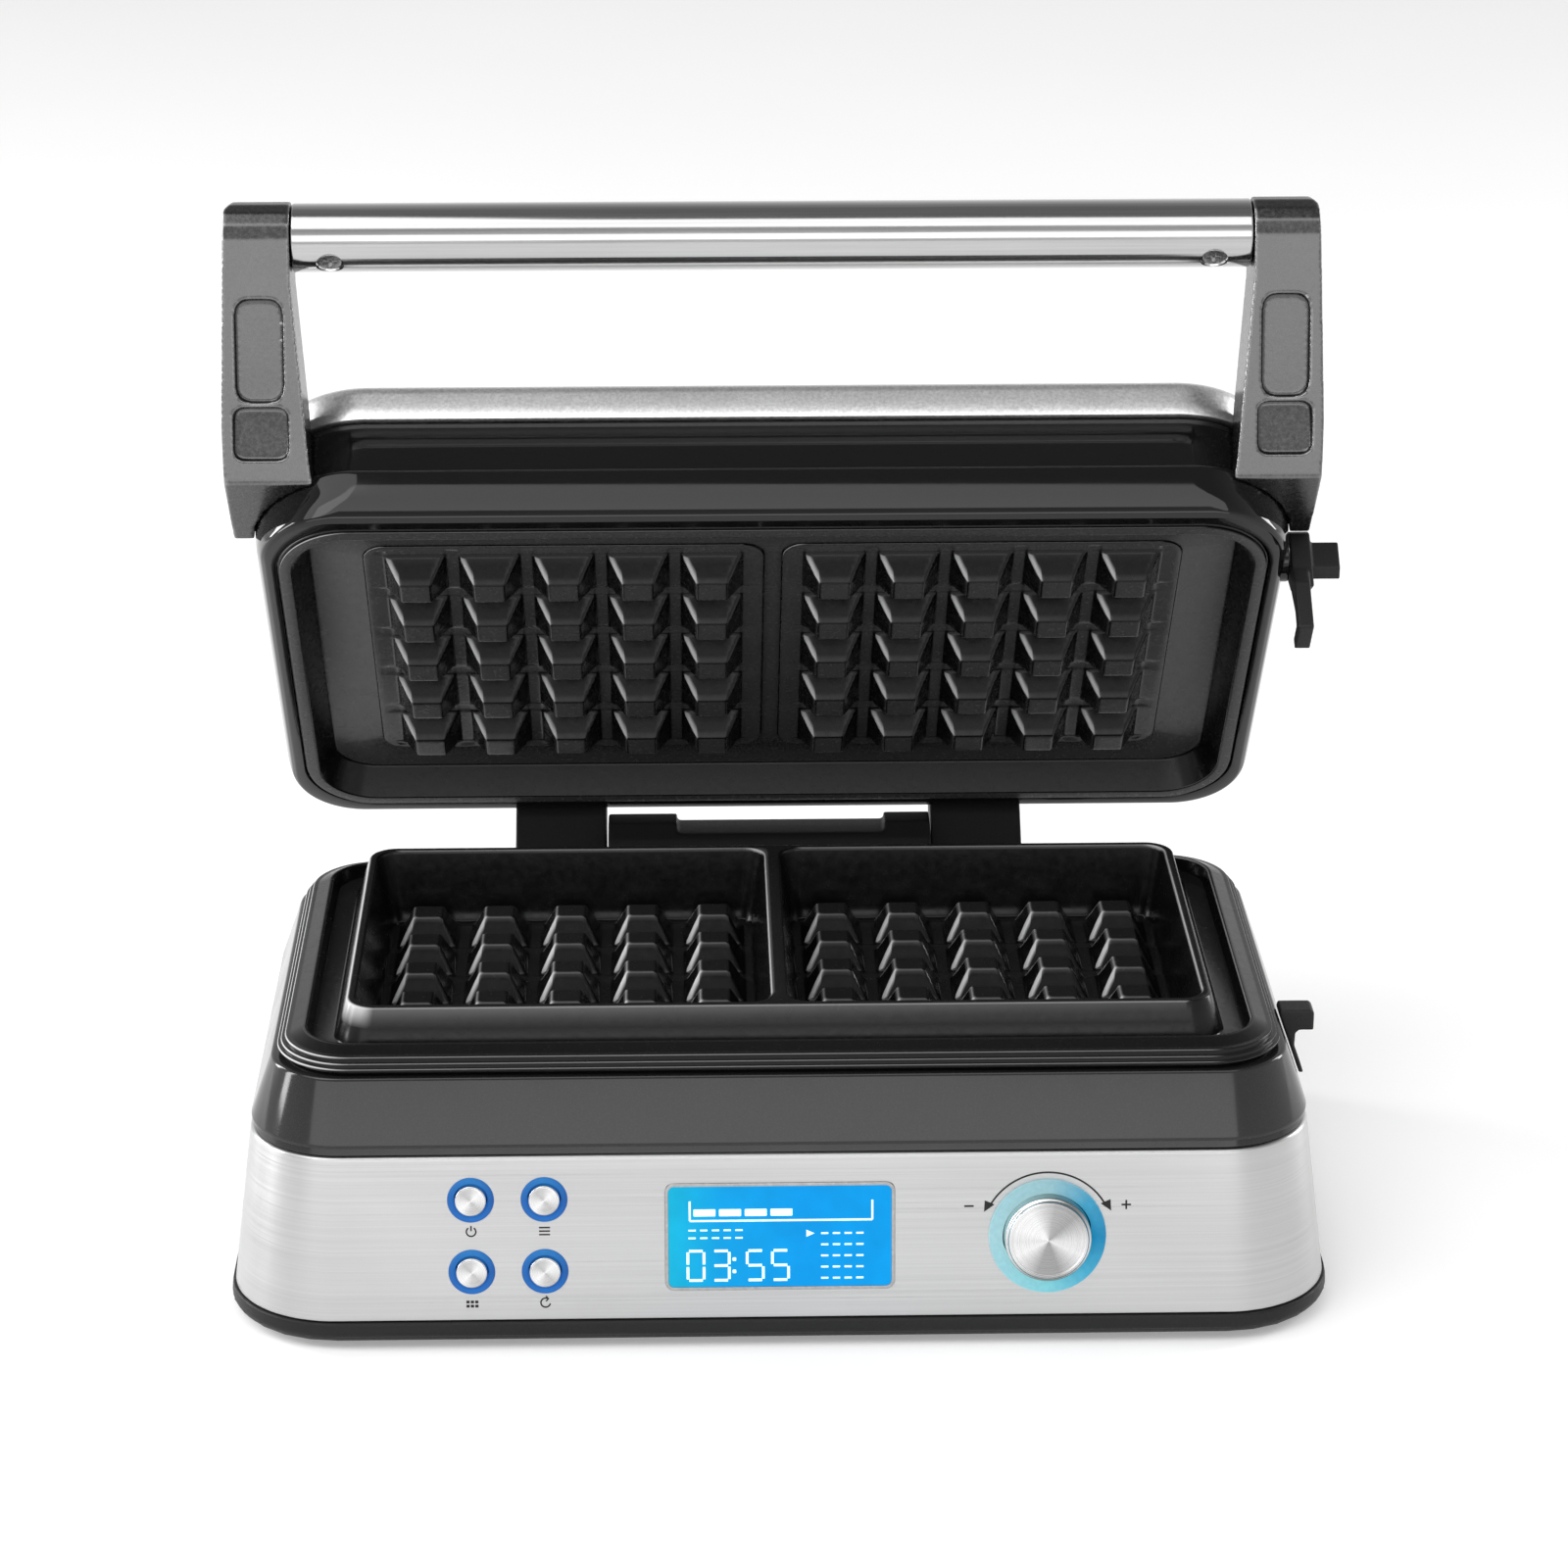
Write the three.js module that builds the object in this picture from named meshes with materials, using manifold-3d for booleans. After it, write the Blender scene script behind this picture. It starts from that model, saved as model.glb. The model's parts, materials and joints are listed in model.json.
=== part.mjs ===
// Double waffle maker, lid standing open. Millimetres, +Z up, +X right, the front faces -Y.
// Every piece is drawn as it sits with the lid shut and the plates centred on X = Y = 0.
// The lid group is then turned open about its hinge, and the whole object is set down so that
// the origin is the middle of its outer box, on the surface that the feet stand on.

import * as THREE from 'three';
import { mergeVertices } from 'three/addons/utils/BufferGeometryUtils.js';
import Module from 'manifold-3d';

const wasm = await Module();
wasm.setup();

// ---------------------------------------------------------------- driving dimensions

const GAP = 0.3; // air between neighbouring pieces
const CORNER_STEPS = 3; // arc divisions, doubled by three.js, on each rounded corner

const OPEN_ANGLE = THREE.MathUtils.degToRad(51.5);
const HINGE = { y: 94, z: 61.3, barrel: 9.3, pin: 2.5, blockHalf: 49, leafEnd: 77.5 };

const BASE = {
  footHeight: 2.5,
  trimTop: 8.3,
  shellTop: 54.7,
  collarBottom: 57.3,
  collarTop: 75.4,
};
const TRIM = { x: 153, y: 88.6, r: 31 };
const SHELL_BOTTOM = { x: 152, y: 87.6, r: 30 };
const SHELL_TOP = { x: 146.2, y: 81, r: 26 };
const COLLAR_TOP = { x: 139.8, y: 74, r: 20 };
const SHEET = 1.2; // stainless band thickness

const PEG = { pitch: 21, rows: 5, first: 19.45, baseHalf: 8.5, tipHalf: 4.1 };
const PLATE = { x: 139.6, y: 74.3, r: 21 };
const LOWER_RIM = { x: 138.2, y: 74.3, r: 21 };
const LOWER = {
  bottom: 62.7, floor: 68.2, seat: 72.9, rim: 75.7, tip: 76.7, moat: 78.5, ring: 82.4, wallTop: 89.7,
};
const UPPER = { rim: 81.1, shoulder: 86.3, floor: 89.3, ledge: 90.2, top: 96 };
const POCKET = { centre: 59.4, topHalf: 57.1, floorHalf: 53.8, topDepth: 57, floorDepth: 53.8 };

const LID = { lip: 81.6, flangeTop: 97, wallTop: 115.2, coverTop: 129.3 };
const FLANGE = { x: 146.5, y: 82, r: 31 };
const LID_WALL = { x: 143, y: 79.2, r: 29 };
const COVER = { x: 143.8, y: 80, r: 30 };

const HANDLE = {
  y: -115, z: 152.3, tube: 9.5, bore: 8, tubeHalf: 133, screwX: 122.5, footY: -62, footZ: 87,
};
const ARM = { thick: 20, outer: 151.6, bulge: 153.2, low: 152.2, inner: 133.3, innerLow: 129, foot: 93.5 };
const ARM_POCKET = { x0: 135.6, x1: 148.8, y0: -45, y1: -16.5, round: 4.5, depthLow: 2.6, depthHigh: 1.6 };
const ARM_SCOOP = { x0: 134.6, x1: 149.8, y0: -61, y1: -46.4, round: 3.2, depthLow: 1.4, depthHigh: 4 };

const LATCH = { y: -45, z: 89, pin: 2, inner: 146.9, outer: 152.8, tabEnd: 160.8 };
const CATCH = { yFront: -38, yBack: -30.6, top: 77, under: 71, outer: 150 };

const KNOB = { x: 72.5, v: -0.6, radius: 10.8, skirt: 11.9, height: 5.2, ring: 16, ringProud: 2.8 };
const BUTTON = { columns: [-84.8, -64.8], rows: [11.1, -9.4], cap: 4.3, ring: 6.3, proud: 1.5 };
const SCREEN = { x: -0.6, halfWidth: 31.4, halfHeight: 15.3 };
const POSTS = [[-128, -62], [128, -62], [-128, 62], [128, 62]];
const FEET = {
  foot_front_left: [-112, -62],
  foot_front_right: [112, -62],
  foot_back_left: [-112, 62],
  foot_back_right: [112, 62],
};
const CORD = { x: 96, z: 24, radius: 7 };

const STEEL = { color: 0xc9cacb, roughness: 0.32, metalness: 1 };
const SATIN = { color: 0xa9aaac, roughness: 0.42, metalness: 1 };
const GLOSS_BLACK = { color: 0x0c0c0d, roughness: 0.12, metalness: 0 };
const MATTE_BLACK = { color: 0x141415, roughness: 0.6, metalness: 0 };
const COATING = { color: 0x1b1b1c, roughness: 0.45, metalness: 0.2 };
const RUBBER = { color: 0x101010, roughness: 0.9, metalness: 0 };
const BOARD = { color: 0x1d5a34, roughness: 0.6, metalness: 0 };
const LIGHT = { color: 0x2aa6ff, roughness: 0.3, metalness: 0, emissive: 0x1c7fff };

// ---------------------------------------------------------------- solids from three.js shapes

/** A manifold-3d solid from a closed three.js geometry. */
function solid(geometry) {
  geometry.deleteAttribute('normal');
  geometry.deleteAttribute('uv');
  const merged = mergeVertices(geometry, 1e-4);
  const corners = merged.index.array;
  const triangles = [];
  for (let i = 0; i < corners.length; i += 3) {
    const [a, b, c] = corners.slice(i, i + 3);
    if (a !== b && b !== c && c !== a) {
      triangles.push(a, b, c);
    }
  }
  return new wasm.Manifold(new wasm.Mesh({
    numProp: 3,
    vertProperties: Float32Array.from(merged.attributes.position.array),
    triVerts: Uint32Array.from(triangles),
  }));
}

/** A level of a rounded block: a rounded rectangle of half sizes x and y at height z. */
function level(z, size, inset = 0) {
  return { z, x: size.x - inset, y: size.y - inset, r: Math.max(size.r - inset, 1) };
}

/** A stack of rounded rectangles, bottom to top. Two levels at one height make a step. */
function block(levels, centreX = 0) {
  const outline = new THREE.Shape();
  outline.absarc(1, 1, 1, 0, Math.PI / 2);
  outline.absarc(-1, 1, 1, Math.PI / 2, Math.PI);
  outline.absarc(-1, -1, 1, Math.PI, 1.5 * Math.PI);
  outline.absarc(1, -1, 1, 1.5 * Math.PI, 2 * Math.PI);
  const steps = levels.length - 1;
  const geometry = new THREE.ExtrudeGeometry(outline, {
    depth: steps, steps, bevelEnabled: false, curveSegments: CORNER_STEPS,
  });
  const position = geometry.attributes.position;
  for (let i = 0; i < position.count; i += 1) {
    const size = levels[Math.round(position.getZ(i))];
    const signX = Math.sign(position.getX(i));
    const signY = Math.sign(position.getY(i));
    const arcX = position.getX(i) - signX;
    const arcY = position.getY(i) - signY;
    const x = centreX + signX * (size.x - size.r) + arcX * size.r;
    const y = signY * (size.y - size.r) + arcY * size.r;
    position.setXYZ(i, x, y, size.z);
  }
  return solid(geometry);
}

/** A box between two opposite corners. */
function box(low, high) {
  const [x0, y0, z0] = low;
  const [x1, y1, z1] = high;
  const geometry = new THREE.BoxGeometry(x1 - x0, y1 - y0, z1 - z0);
  geometry.translate((x0 + x1) / 2, (y0 + y1) / 2, (z0 + z1) / 2);
  return solid(geometry);
}

/** An upright round post, or a cone where the two radii differ. */
function post(x, y, z0, z1, radius, topRadius = radius, sides = 16) {
  const geometry = new THREE.CylinderGeometry(topRadius, radius, z1 - z0, sides);
  geometry.rotateX(Math.PI / 2);
  geometry.translate(x, y, (z0 + z1) / 2);
  return solid(geometry);
}

/** A round rod lying along X. */
function rod(x0, x1, y, z, radius, sides = 20) {
  const geometry = new THREE.CylinderGeometry(radius, radius, x1 - x0, sides);
  geometry.rotateZ(Math.PI / 2);
  geometry.translate((x0 + x1) / 2, y, z);
  return solid(geometry);
}

/** A side view, drawn as [y, z] points, extruded along X. */
function sideProfile(points, x0, x1) {
  const outline = new THREE.Shape(points.map(([y, z]) => new THREE.Vector2(y, z)));
  const geometry = new THREE.ExtrudeGeometry(outline, { depth: x1 - x0, bevelEnabled: false });
  const axes = new THREE.Matrix4().set(0, 0, 1, x0, 1, 0, 0, 0, 0, 1, 0, 0, 0, 0, 0, 1);
  geometry.applyMatrix4(axes);
  return solid(geometry);
}

/** A front view, drawn as [x, z] points, extruded along Y. */
function frontProfile(points, y0, y1) {
  const outline = new THREE.Shape(points.map(([x, z]) => new THREE.Vector2(x, z)));
  const geometry = new THREE.ExtrudeGeometry(outline, { depth: y1 - y0, bevelEnabled: false });
  const axes = new THREE.Matrix4().set(1, 0, 0, 0, 0, 0, -1, y1, 0, 1, 0, 0, 0, 0, 0, 1);
  geometry.applyMatrix4(axes);
  return solid(geometry);
}

/** Points along an arc in a side view, from one angle to another, in degrees. */
function arc(y, z, radius, from, to, count) {
  const points = [];
  for (let i = 0; i <= count; i += 1) {
    const angle = THREE.MathUtils.degToRad(from + ((to - from) * i) / count);
    points.push([y + radius * Math.cos(angle), z + radius * Math.sin(angle)]);
  }
  return points;
}

/** A tube of round section along a three.js curve. */
function tube(curve, radius, steps, sides = 8) {
  const section = new THREE.Shape();
  section.absarc(0, 0, radius, 0, 2 * Math.PI);
  const geometry = new THREE.ExtrudeGeometry(section, {
    extrudePath: curve, steps, bevelEnabled: false, curveSegments: sides / 2,
  });
  return solid(geometry);
}

/** A named mesh from a solid. */
function piece(name, body, finish) {
  const { vertProperties, triVerts } = body.getMesh();
  const geometry = new THREE.BufferGeometry();
  geometry.setAttribute('position', new THREE.BufferAttribute(vertProperties, 3));
  geometry.setIndex(new THREE.BufferAttribute(triVerts, 1));
  geometry.computeVertexNormals();
  const mesh = new THREE.Mesh(geometry, new THREE.MeshStandardMaterial(finish));
  mesh.name = name;
  return mesh;
}

// ---------------------------------------------------------------- the base

/** Moulded bottom pan: trim band, floor with vents, locating tongue and four screw bosses. */
function baseTray() {
  const tongue = { x: 149.3, y: 84.9, r: 31.5 };
  const tongueTop = 12;
  const floorTop = 5.2;
  let tray = block([
    level(BASE.footHeight, TRIM, 1.6),
    level(BASE.footHeight + 2, TRIM),
    level(BASE.trimTop, TRIM, 0.3),
    level(BASE.trimTop, tongue),
    level(tongueTop, tongue),
  ]);
  tray = tray.subtract(block([level(floorTop, tongue, 3), level(tongueTop + 1, tongue, 2.4)]));
  for (const [x, y] of POSTS) {
    tray = tray.add(post(x, y, floorTop - 1, 19.5, 5.2));
    tray = tray.subtract(post(x, y, 0, 20, 1.9));
    tray = tray.subtract(post(x, y, 0, 7, 4));
  }
  for (const [x, y] of Object.values(FEET)) {
    tray = tray.subtract(post(x, y, 0, 7, 3.2));
  }
  const vents = 9;
  for (let i = 0; i < vents; i += 1) {
    const x = (i - (vents - 1) / 2) * 16;
    tray = tray.subtract(box([x - 2, -30, 0], [x + 2, 30, 7]));
  }
  return piece('base_tray', tray, MATTE_BLACK);
}

/** Rubber foot: a tapered pad with a push-in stem through the tray floor. */
function foot(name, x, y) {
  const pad = post(x, y, 0, BASE.footHeight - GAP, 9, 10, 20);
  const stem = post(x, y, BASE.footHeight - GAP, 5.5, 2.8, 2.8, 12);
  const barb = post(x, y, 5.5, 8.5, 4.4, 2.6, 12);
  return piece(name, pad.add(stem).add(barb), RUBBER);
}

/** Frame of the sloping front panel: X right, Y up the panel, Z straight out of it. */
function panelFrame() {
  const bottom = new THREE.Vector3(0, -SHELL_BOTTOM.y, BASE.trimTop + GAP);
  const top = new THREE.Vector3(0, -SHELL_TOP.y, BASE.shellTop);
  const up = top.clone().sub(bottom).normalize();
  const right = new THREE.Vector3(1, 0, 0);
  const out = right.clone().cross(up);
  const middle = bottom.clone().add(top).multiplyScalar(0.5);
  return new THREE.Matrix4().makeBasis(right, up, out).setPosition(middle);
}

const PANEL = panelFrame();

/** Puts a geometry drawn on the panel (X right, Y up, Z out) in its place. */
function onPanel(geometry) {
  geometry.applyMatrix4(PANEL);
  return solid(geometry);
}

/** A disc on the panel between two depths, measured out from its face. */
function panelDisc(x, v, from, to, radius, outerRadius = radius, sides = 24) {
  const geometry = new THREE.CylinderGeometry(outerRadius, radius, to - from, sides);
  geometry.rotateX(Math.PI / 2);
  geometry.translate(x, v, (from + to) / 2);
  return onPanel(geometry);
}

/** A turned piece on the panel: its section is drawn as [radius, depth out from the face]. */
function panelTurned(x, v, section, sides = 24) {
  const points = section.map(([radius, depth]) => new THREE.Vector2(radius, depth));
  const geometry = new THREE.LatheGeometry(points, sides);
  geometry.rotateX(Math.PI / 2);
  geometry.translate(x, v, 0);
  return onPanel(geometry);
}

/** A box on the panel between two depths, measured out from its face. */
function panelBox(x, v, halfX, halfV, from, to) {
  const geometry = new THREE.BoxGeometry(2 * halfX, 2 * halfV, to - from);
  geometry.translate(x, v, (from + to) / 2);
  return onPanel(geometry);
}

/** Brushed stainless band with an inward lip at its top and its front panel cut-outs. */
function baseShell() {
  const low = BASE.trimTop + GAP;
  const lip = BASE.shellTop - SHEET;
  let shell = block([level(low, SHELL_BOTTOM), level(BASE.shellTop, SHELL_TOP)]);
  shell = shell.subtract(block([
    level(low - 1, SHELL_BOTTOM, SHEET - 0.15),
    level(lip, SHELL_TOP, SHEET),
    level(lip, SHELL_TOP, 4.5),
    level(BASE.shellTop + 1, SHELL_TOP, 4.5),
  ]));
  const depth = 6;
  shell = shell.subtract(
    panelBox(SCREEN.x, 0, SCREEN.halfWidth, SCREEN.halfHeight, -depth, depth),
  );
  shell = shell.subtract(panelDisc(KNOB.x, KNOB.v, -depth, depth, KNOB.ring + GAP));
  for (const x of BUTTON.columns) {
    for (const v of BUTTON.rows) {
      shell = shell.subtract(panelDisc(x, v, -depth, depth, BUTTON.ring + GAP));
    }
  }
  shell = shell.subtract(cordBore(CORD.radius + GAP));
  return piece('base_shell', shell, STEEL);
}

/** Glossy sloping collar with the ledge that carries the lower plate and four screw posts. */
function baseCollar() {
  const neck = { x: 144.6, y: 79.4, r: 24.4 };
  const ledge = { x: 133.2, y: 67.2, r: 18.6 };
  const ledgeUnder = 72.2;
  let collar = block([
    level(BASE.shellTop + GAP, neck),
    level(BASE.collarBottom, neck),
    level(BASE.collarBottom, SHELL_TOP),
    level(BASE.collarTop, COLLAR_TOP),
  ]);
  collar = collar.subtract(block([
    level(BASE.shellTop - 1, neck, 3),
    level(BASE.collarBottom, neck, 3),
    level(ledgeUnder, COLLAR_TOP, 3),
    level(ledgeUnder, ledge),
    level(BASE.collarTop + 1, ledge),
  ]));
  for (const [x, y] of POSTS) {
    collar = collar.add(post(x, y, 19.8, ledgeUnder - 3, 4.5).subtract(post(x, y, 19, 45, 1.9)));
    const gusset = box(
      [Math.min(x, Math.sign(x) * 138), y - 1.2, 58],
      [Math.max(x, Math.sign(x) * 138), y + 1.2, ledgeUnder - 3],
    );
    collar = collar.add(gusset.subtract(post(x, y, 50, 75, 1)));
  }
  return piece('base_collar', collar, GLOSS_BLACK);
}

/** Countersunk screw from under the tray into a collar post. */
function trayScrew(name, x, y) {
  const head = post(x, y, 3.6, 6.6, 3.5, 3.5, 12);
  const shank = post(x, y, 6.6, 40, 1.5, 1.5, 10);
  return piece(name, head.add(shank), STEEL);
}

/** One waffle peg, a square pyramid with its tip cut off, from its foot to its tip. */
function peg(x, y, zFoot, zTip) {
  const root = Math.SQRT2;
  const height = Math.abs(zTip - zFoot);
  const geometry = new THREE.CylinderGeometry(
    PEG.tipHalf * root, PEG.baseHalf * root, height, 4,
  );
  geometry.rotateY(Math.PI / 4);
  geometry.rotateX(zTip > zFoot ? Math.PI / 2 : -Math.PI / 2);
  geometry.translate(x, y, (zFoot + zTip) / 2);
  return solid(geometry);
}

/** Adds the two fields of pegs to a plate. */
function withPegs(plate, zFoot, zTip) {
  let result = plate;
  for (const side of [-1, 1]) {
    for (let column = 0; column < PEG.rows; column += 1) {
      for (let row = 0; row < PEG.rows; row += 1) {
        const x = side * (PEG.first + column * PEG.pitch);
        const y = (row - (PEG.rows - 1) / 2) * PEG.pitch;
        result = result.add(peg(x, y, zFoot, zTip));
      }
    }
  }
  return result;
}

/** Die-cast lower plate: stepped rim, overflow moat, raised wall and two waffle pockets. */
function lowerPlate() {
  const tub = { x: 119.5, y: 60, r: 9 };
  const seat = { x: 132.5, y: 66.5, r: 18 };
  let plate = block([
    level(LOWER.bottom, tub, 2.4),
    level(LOWER.seat, tub),
    level(LOWER.seat, seat),
    level(LOWER.rim, seat),
    level(LOWER.rim, LOWER_RIM, 2.2),
    level(77.2, LOWER_RIM, 2.2),
    level(77.2, LOWER_RIM),
    level(78, LOWER_RIM),
    level(78, LOWER_RIM, 1),
    level(79.2, LOWER_RIM, 1),
    level(79.2, LOWER_RIM, 2.2),
    level(80.6, LOWER_RIM, 2.2),
    level(80.6, LOWER_RIM, 3.6),
    level(LOWER.ring, LOWER_RIM, 7.4),
  ]);
  plate = plate.subtract(block([
    level(LOWER.moat, LOWER_RIM, 9.4),
    level(LOWER.ring + 1, LOWER_RIM, 8),
  ]));
  plate = plate.add(block([
    level(LOWER.moat - 1, { x: 122.6, y: 62.4, r: 10 }),
    level(LOWER.wallTop, { x: 119, y: 59.5, r: 8 }),
  ]));
  for (const side of [-1, 1]) {
    plate = plate.subtract(block([
      level(LOWER.floor, { x: POCKET.floorHalf, y: POCKET.floorDepth, r: 4 }),
      level(LOWER.wallTop, { x: POCKET.topHalf, y: POCKET.topDepth, r: 6 }),
      level(LOWER.wallTop + 1, { x: POCKET.topHalf, y: POCKET.topDepth, r: 6 }),
    ], side * POCKET.centre));
  }
  return piece('lower_plate', withPegs(plate, LOWER.floor - 0.5, LOWER.tip), COATING);
}

/** Centre line of a sheathed heating element: a long rounded loop with its two ends turned in. */
function elementPath(z) {
  const path = new THREE.CurvePath();
  const halfX = 88;
  const halfY = 34;
  const tail = 14;
  const corners = [
    [-tail, halfY - 22], [-tail, halfY], [-halfX, halfY], [-halfX, -halfY],
    [halfX, -halfY], [halfX, halfY], [tail, halfY], [tail, halfY - 22],
  ];
  const points = corners.map(([x, y]) => new THREE.Vector3(x, y, z));
  const radius = 10;
  let from = points[0];
  for (let i = 1; i < points.length - 1; i += 1) {
    const before = points[i].clone().sub(points[i - 1]).setLength(radius);
    const after = points[i + 1].clone().sub(points[i]).setLength(radius);
    const start = points[i].clone().sub(before);
    const end = points[i].clone().add(after);
    path.add(new THREE.LineCurve3(from, start));
    path.add(new THREE.QuadraticBezierCurve3(start, points[i], end));
    from = end;
  }
  path.add(new THREE.LineCurve3(from, points[points.length - 1]));
  return path;
}

/** Heating element clamped flat against the back of a plate. */
function heatingElement(name, z) {
  return piece(name, tube(elementPath(z), 3.2, 40, 6), SATIN);
}

/** Sheet-metal heat shield: a shallow pan whose open side faces its plate. */
function reflector(name, zOpen, zFloor) {
  const pan = { x: 104, y: 48, r: 12 };
  const sheet = Math.sign(zOpen - zFloor) * 0.8;
  const heights = [zFloor, zOpen].sort((a, b) => a - b);
  const hollow = [zFloor + sheet, zOpen + sheet].sort((a, b) => a - b);
  const shell = block([level(heights[0], pan), level(heights[1], pan)]);
  return piece(name, shell.subtract(block([level(hollow[0], pan, 0.8), level(hollow[1], pan, 0.8)])),
    SATIN);
}

/** Bimetal thermostat: a mounting disc with a stepped body and two blade terminals. */
function thermostat(name, zFace, direction) {
  const at = (distance) => zFace + direction * distance;
  const slab = (from, to, radius) => {
    const [low, high] = [at(from), at(to)].sort((a, b) => a - b);
    return post(0, 0, low, high, radius);
  };
  const blade = (x) => {
    const [low, high] = [at(5), at(9)].sort((a, b) => a - b);
    return box([x - 0.4, -2.5, low], [x + 0.4, 2.5, high]);
  };
  const body = slab(0, 1.5, 10).add(slab(1.5, 5.5, 8));
  return piece(name, body.add(blade(-4)).add(blade(4)), SATIN);
}

/** Thermal fuse in its clip, lying along X on the lower plate. */
function thermalFuse() {
  const z = LOWER.bottom - 3.5;
  const body = rod(28, 44, 0, z, 2.6, 12);
  const leads = rod(20, 52, 0, z, 0.8, 8);
  const clip = box([33, -6, z + 2], [39, 6, LOWER.bottom - GAP]);
  return piece('thermal_fuse', body.add(leads).add(clip), SATIN);
}

/** Mains board on the tray: board, transformer, relay and terminal block, all soldered together. */
function powerBoard() {
  let board = box([20, -8, 10], [108, 52, 11.6]);
  board = board.add(box([30, 2, 11], [56, 30, 34]));
  board = board.add(box([64, 8, 11], [82, 24, 27]));
  board = board.add(box([84, 30, 11], [104, 46, 22]));
  for (const [x, y] of [[24, -4], [104, -4], [24, 48], [104, 48]]) {
    board = board.add(post(x, y, 5.5, 10.5, 2.6, 2.6, 10));
  }
  return piece('power_board', board, BOARD);
}

/** Control board behind the panel, with a switch under each button. */
function controlBoard() {
  let board = panelBox(-4, 0, 92, 19, -15.6, -14);
  for (const x of BUTTON.columns) {
    for (const v of BUTTON.rows) {
      board = board.add(panelBox(x, v, 3, 3, -14.5, -11.2));
    }
  }
  return piece('control_board', board, BOARD);
}

/** Screen behind its window. */
function displayModule() {
  return piece('display_module', panelBox(SCREEN.x, 0, 34, 17.8, -10, -2.6), LIGHT);
}

/** Clear window set flush in the panel. */
function displayWindow() {
  const halfX = SCREEN.halfWidth - GAP;
  const halfV = SCREEN.halfHeight - GAP;
  const lens = panelBox(SCREEN.x, 0, halfX, halfV, -2.2, 0.1);
  return piece('display_window', lens, { color: 0x9fd8ff, roughness: 0.08, metalness: 0 });
}

/** Rotary encoder: a square body on the board and the fixed bush that guides the shaft. */
function knobEncoder() {
  const body = panelBox(KNOB.x, KNOB.v, 6.5, 6.5, -13.7, -8);
  const bush = panelDisc(KNOB.x, KNOB.v, -8.5, -2, 4.5, 4.5, 16);
  const bore = panelDisc(KNOB.x, KNOB.v, -13, 0, 3.3, 3.3, 16);
  return piece('knob_encoder', body.add(bush).subtract(bore), SATIN);
}

/** A light ring: a tube through the panel with a flange behind it. */
function lightRing(name, x, v, size, sides) {
  const { bore, radius, flange, proud, behind } = size;
  const ring = panelTurned(x, v, [
    [bore, behind], [flange, behind], [flange, -2], [radius, -2], [radius, proud],
    [bore, proud], [bore, behind],
  ], sides);
  return piece(name, ring, LIGHT);
}

/** Frosted light ring around the knob. */
function knobLightRing() {
  return lightRing('knob_light_ring', KNOB.x, KNOB.v, {
    bore: KNOB.skirt + 0.4, radius: KNOB.ring, flange: KNOB.ring + 2, proud: KNOB.ringProud,
    behind: -4,
  }, 32);
}

/** Light ring around one button. */
function buttonLight(name, x, v) {
  return lightRing(name, x, v, {
    bore: BUTTON.cap + GAP,
    radius: BUTTON.ring,
    flange: BUTTON.ring + 1.5,
    proud: 0.7,
    behind: -3.6,
  }, 16);
}

/** Side catch: an arm with a lip on a rib that runs down the collar. */
function catchBracket() {
  const slope = (SHELL_TOP.x - COLLAR_TOP.x) / (BASE.collarTop - BASE.collarBottom);
  const collarX = (z) => COLLAR_TOP.x + slope * (BASE.collarTop - z) + GAP + 0.1;
  const rib = 1.3;
  const { top, under, outer, yFront, yBack } = CATCH;
  const bracket = frontProfile([
    [collarX(75.6), 75.6], [140.4, top], [outer - 0.8, top], [outer, top - 0.8], [outer, under],
    [146, under], [144.9, under - 1], [collarX(66) + rib, 66], [collarX(58) + rib, 58],
    [collarX(58), 58],
  ], yFront, yBack);
  return piece('catch_bracket', bracket, MATTE_BLACK);
}

/** Fixed middle part of the hinge, on the back of the collar. */
function hingeBlock() {
  const { y, z, barrel, blockHalf } = HINGE;
  const profile = [
    [82.4, 57.8], [76.3, 74.5], [84.5, 81.8], [90, 85], [98.5, 85],
    ...arc(y, z, barrel, 25, -125, 8),
  ];
  let body = sideProfile(profile, -blockHalf, blockHalf);
  body = body.subtract(box([-28, 70, 82.8], [35, 110, 90]));
  body = body.subtract(rod(-blockHalf - 1, blockHalf + 1, y, z, HINGE.pin + GAP));
  return piece('hinge_block', body, MATTE_BLACK);
}

/** Hinge pin with a low head at each end. */
function hingePin() {
  const end = HINGE.leafEnd + GAP;
  const pin = rod(-end - 1.5, end + 1.5, HINGE.y, HINGE.z, HINGE.pin);
  const heads = rod(-end - 1.5, -end, HINGE.y, HINGE.z, 4)
    .add(rod(end, end + 1.5, HINGE.y, HINGE.z, 4));
  return piece('hinge_pin', pin.add(heads), STEEL);
}

/** A round bar through the back wall where the cord inlet is. */
function cordBore(radius) {
  const geometry = new THREE.CylinderGeometry(radius, radius, 30, 20);
  geometry.translate(CORD.x, SHELL_BOTTOM.y - 2, CORD.z);
  return solid(geometry);
}

/** Cord inlet: a flanged bush through the back wall. */
function cordGland() {
  const wall = 86.2;
  const profile = [
    [3.6, -6], [CORD.radius, -6], [CORD.radius, 1], [10, 1], [9, 4], [6, 9], [3.6, 9], [3.6, -6],
  ].map(([r, y]) => new THREE.Vector2(r, y));
  const geometry = new THREE.LatheGeometry(profile, 20);
  geometry.translate(CORD.x, wall, CORD.z);
  return piece('cord_gland', solid(geometry), RUBBER);
}

// ---------------------------------------------------------------- knob and buttons

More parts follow.
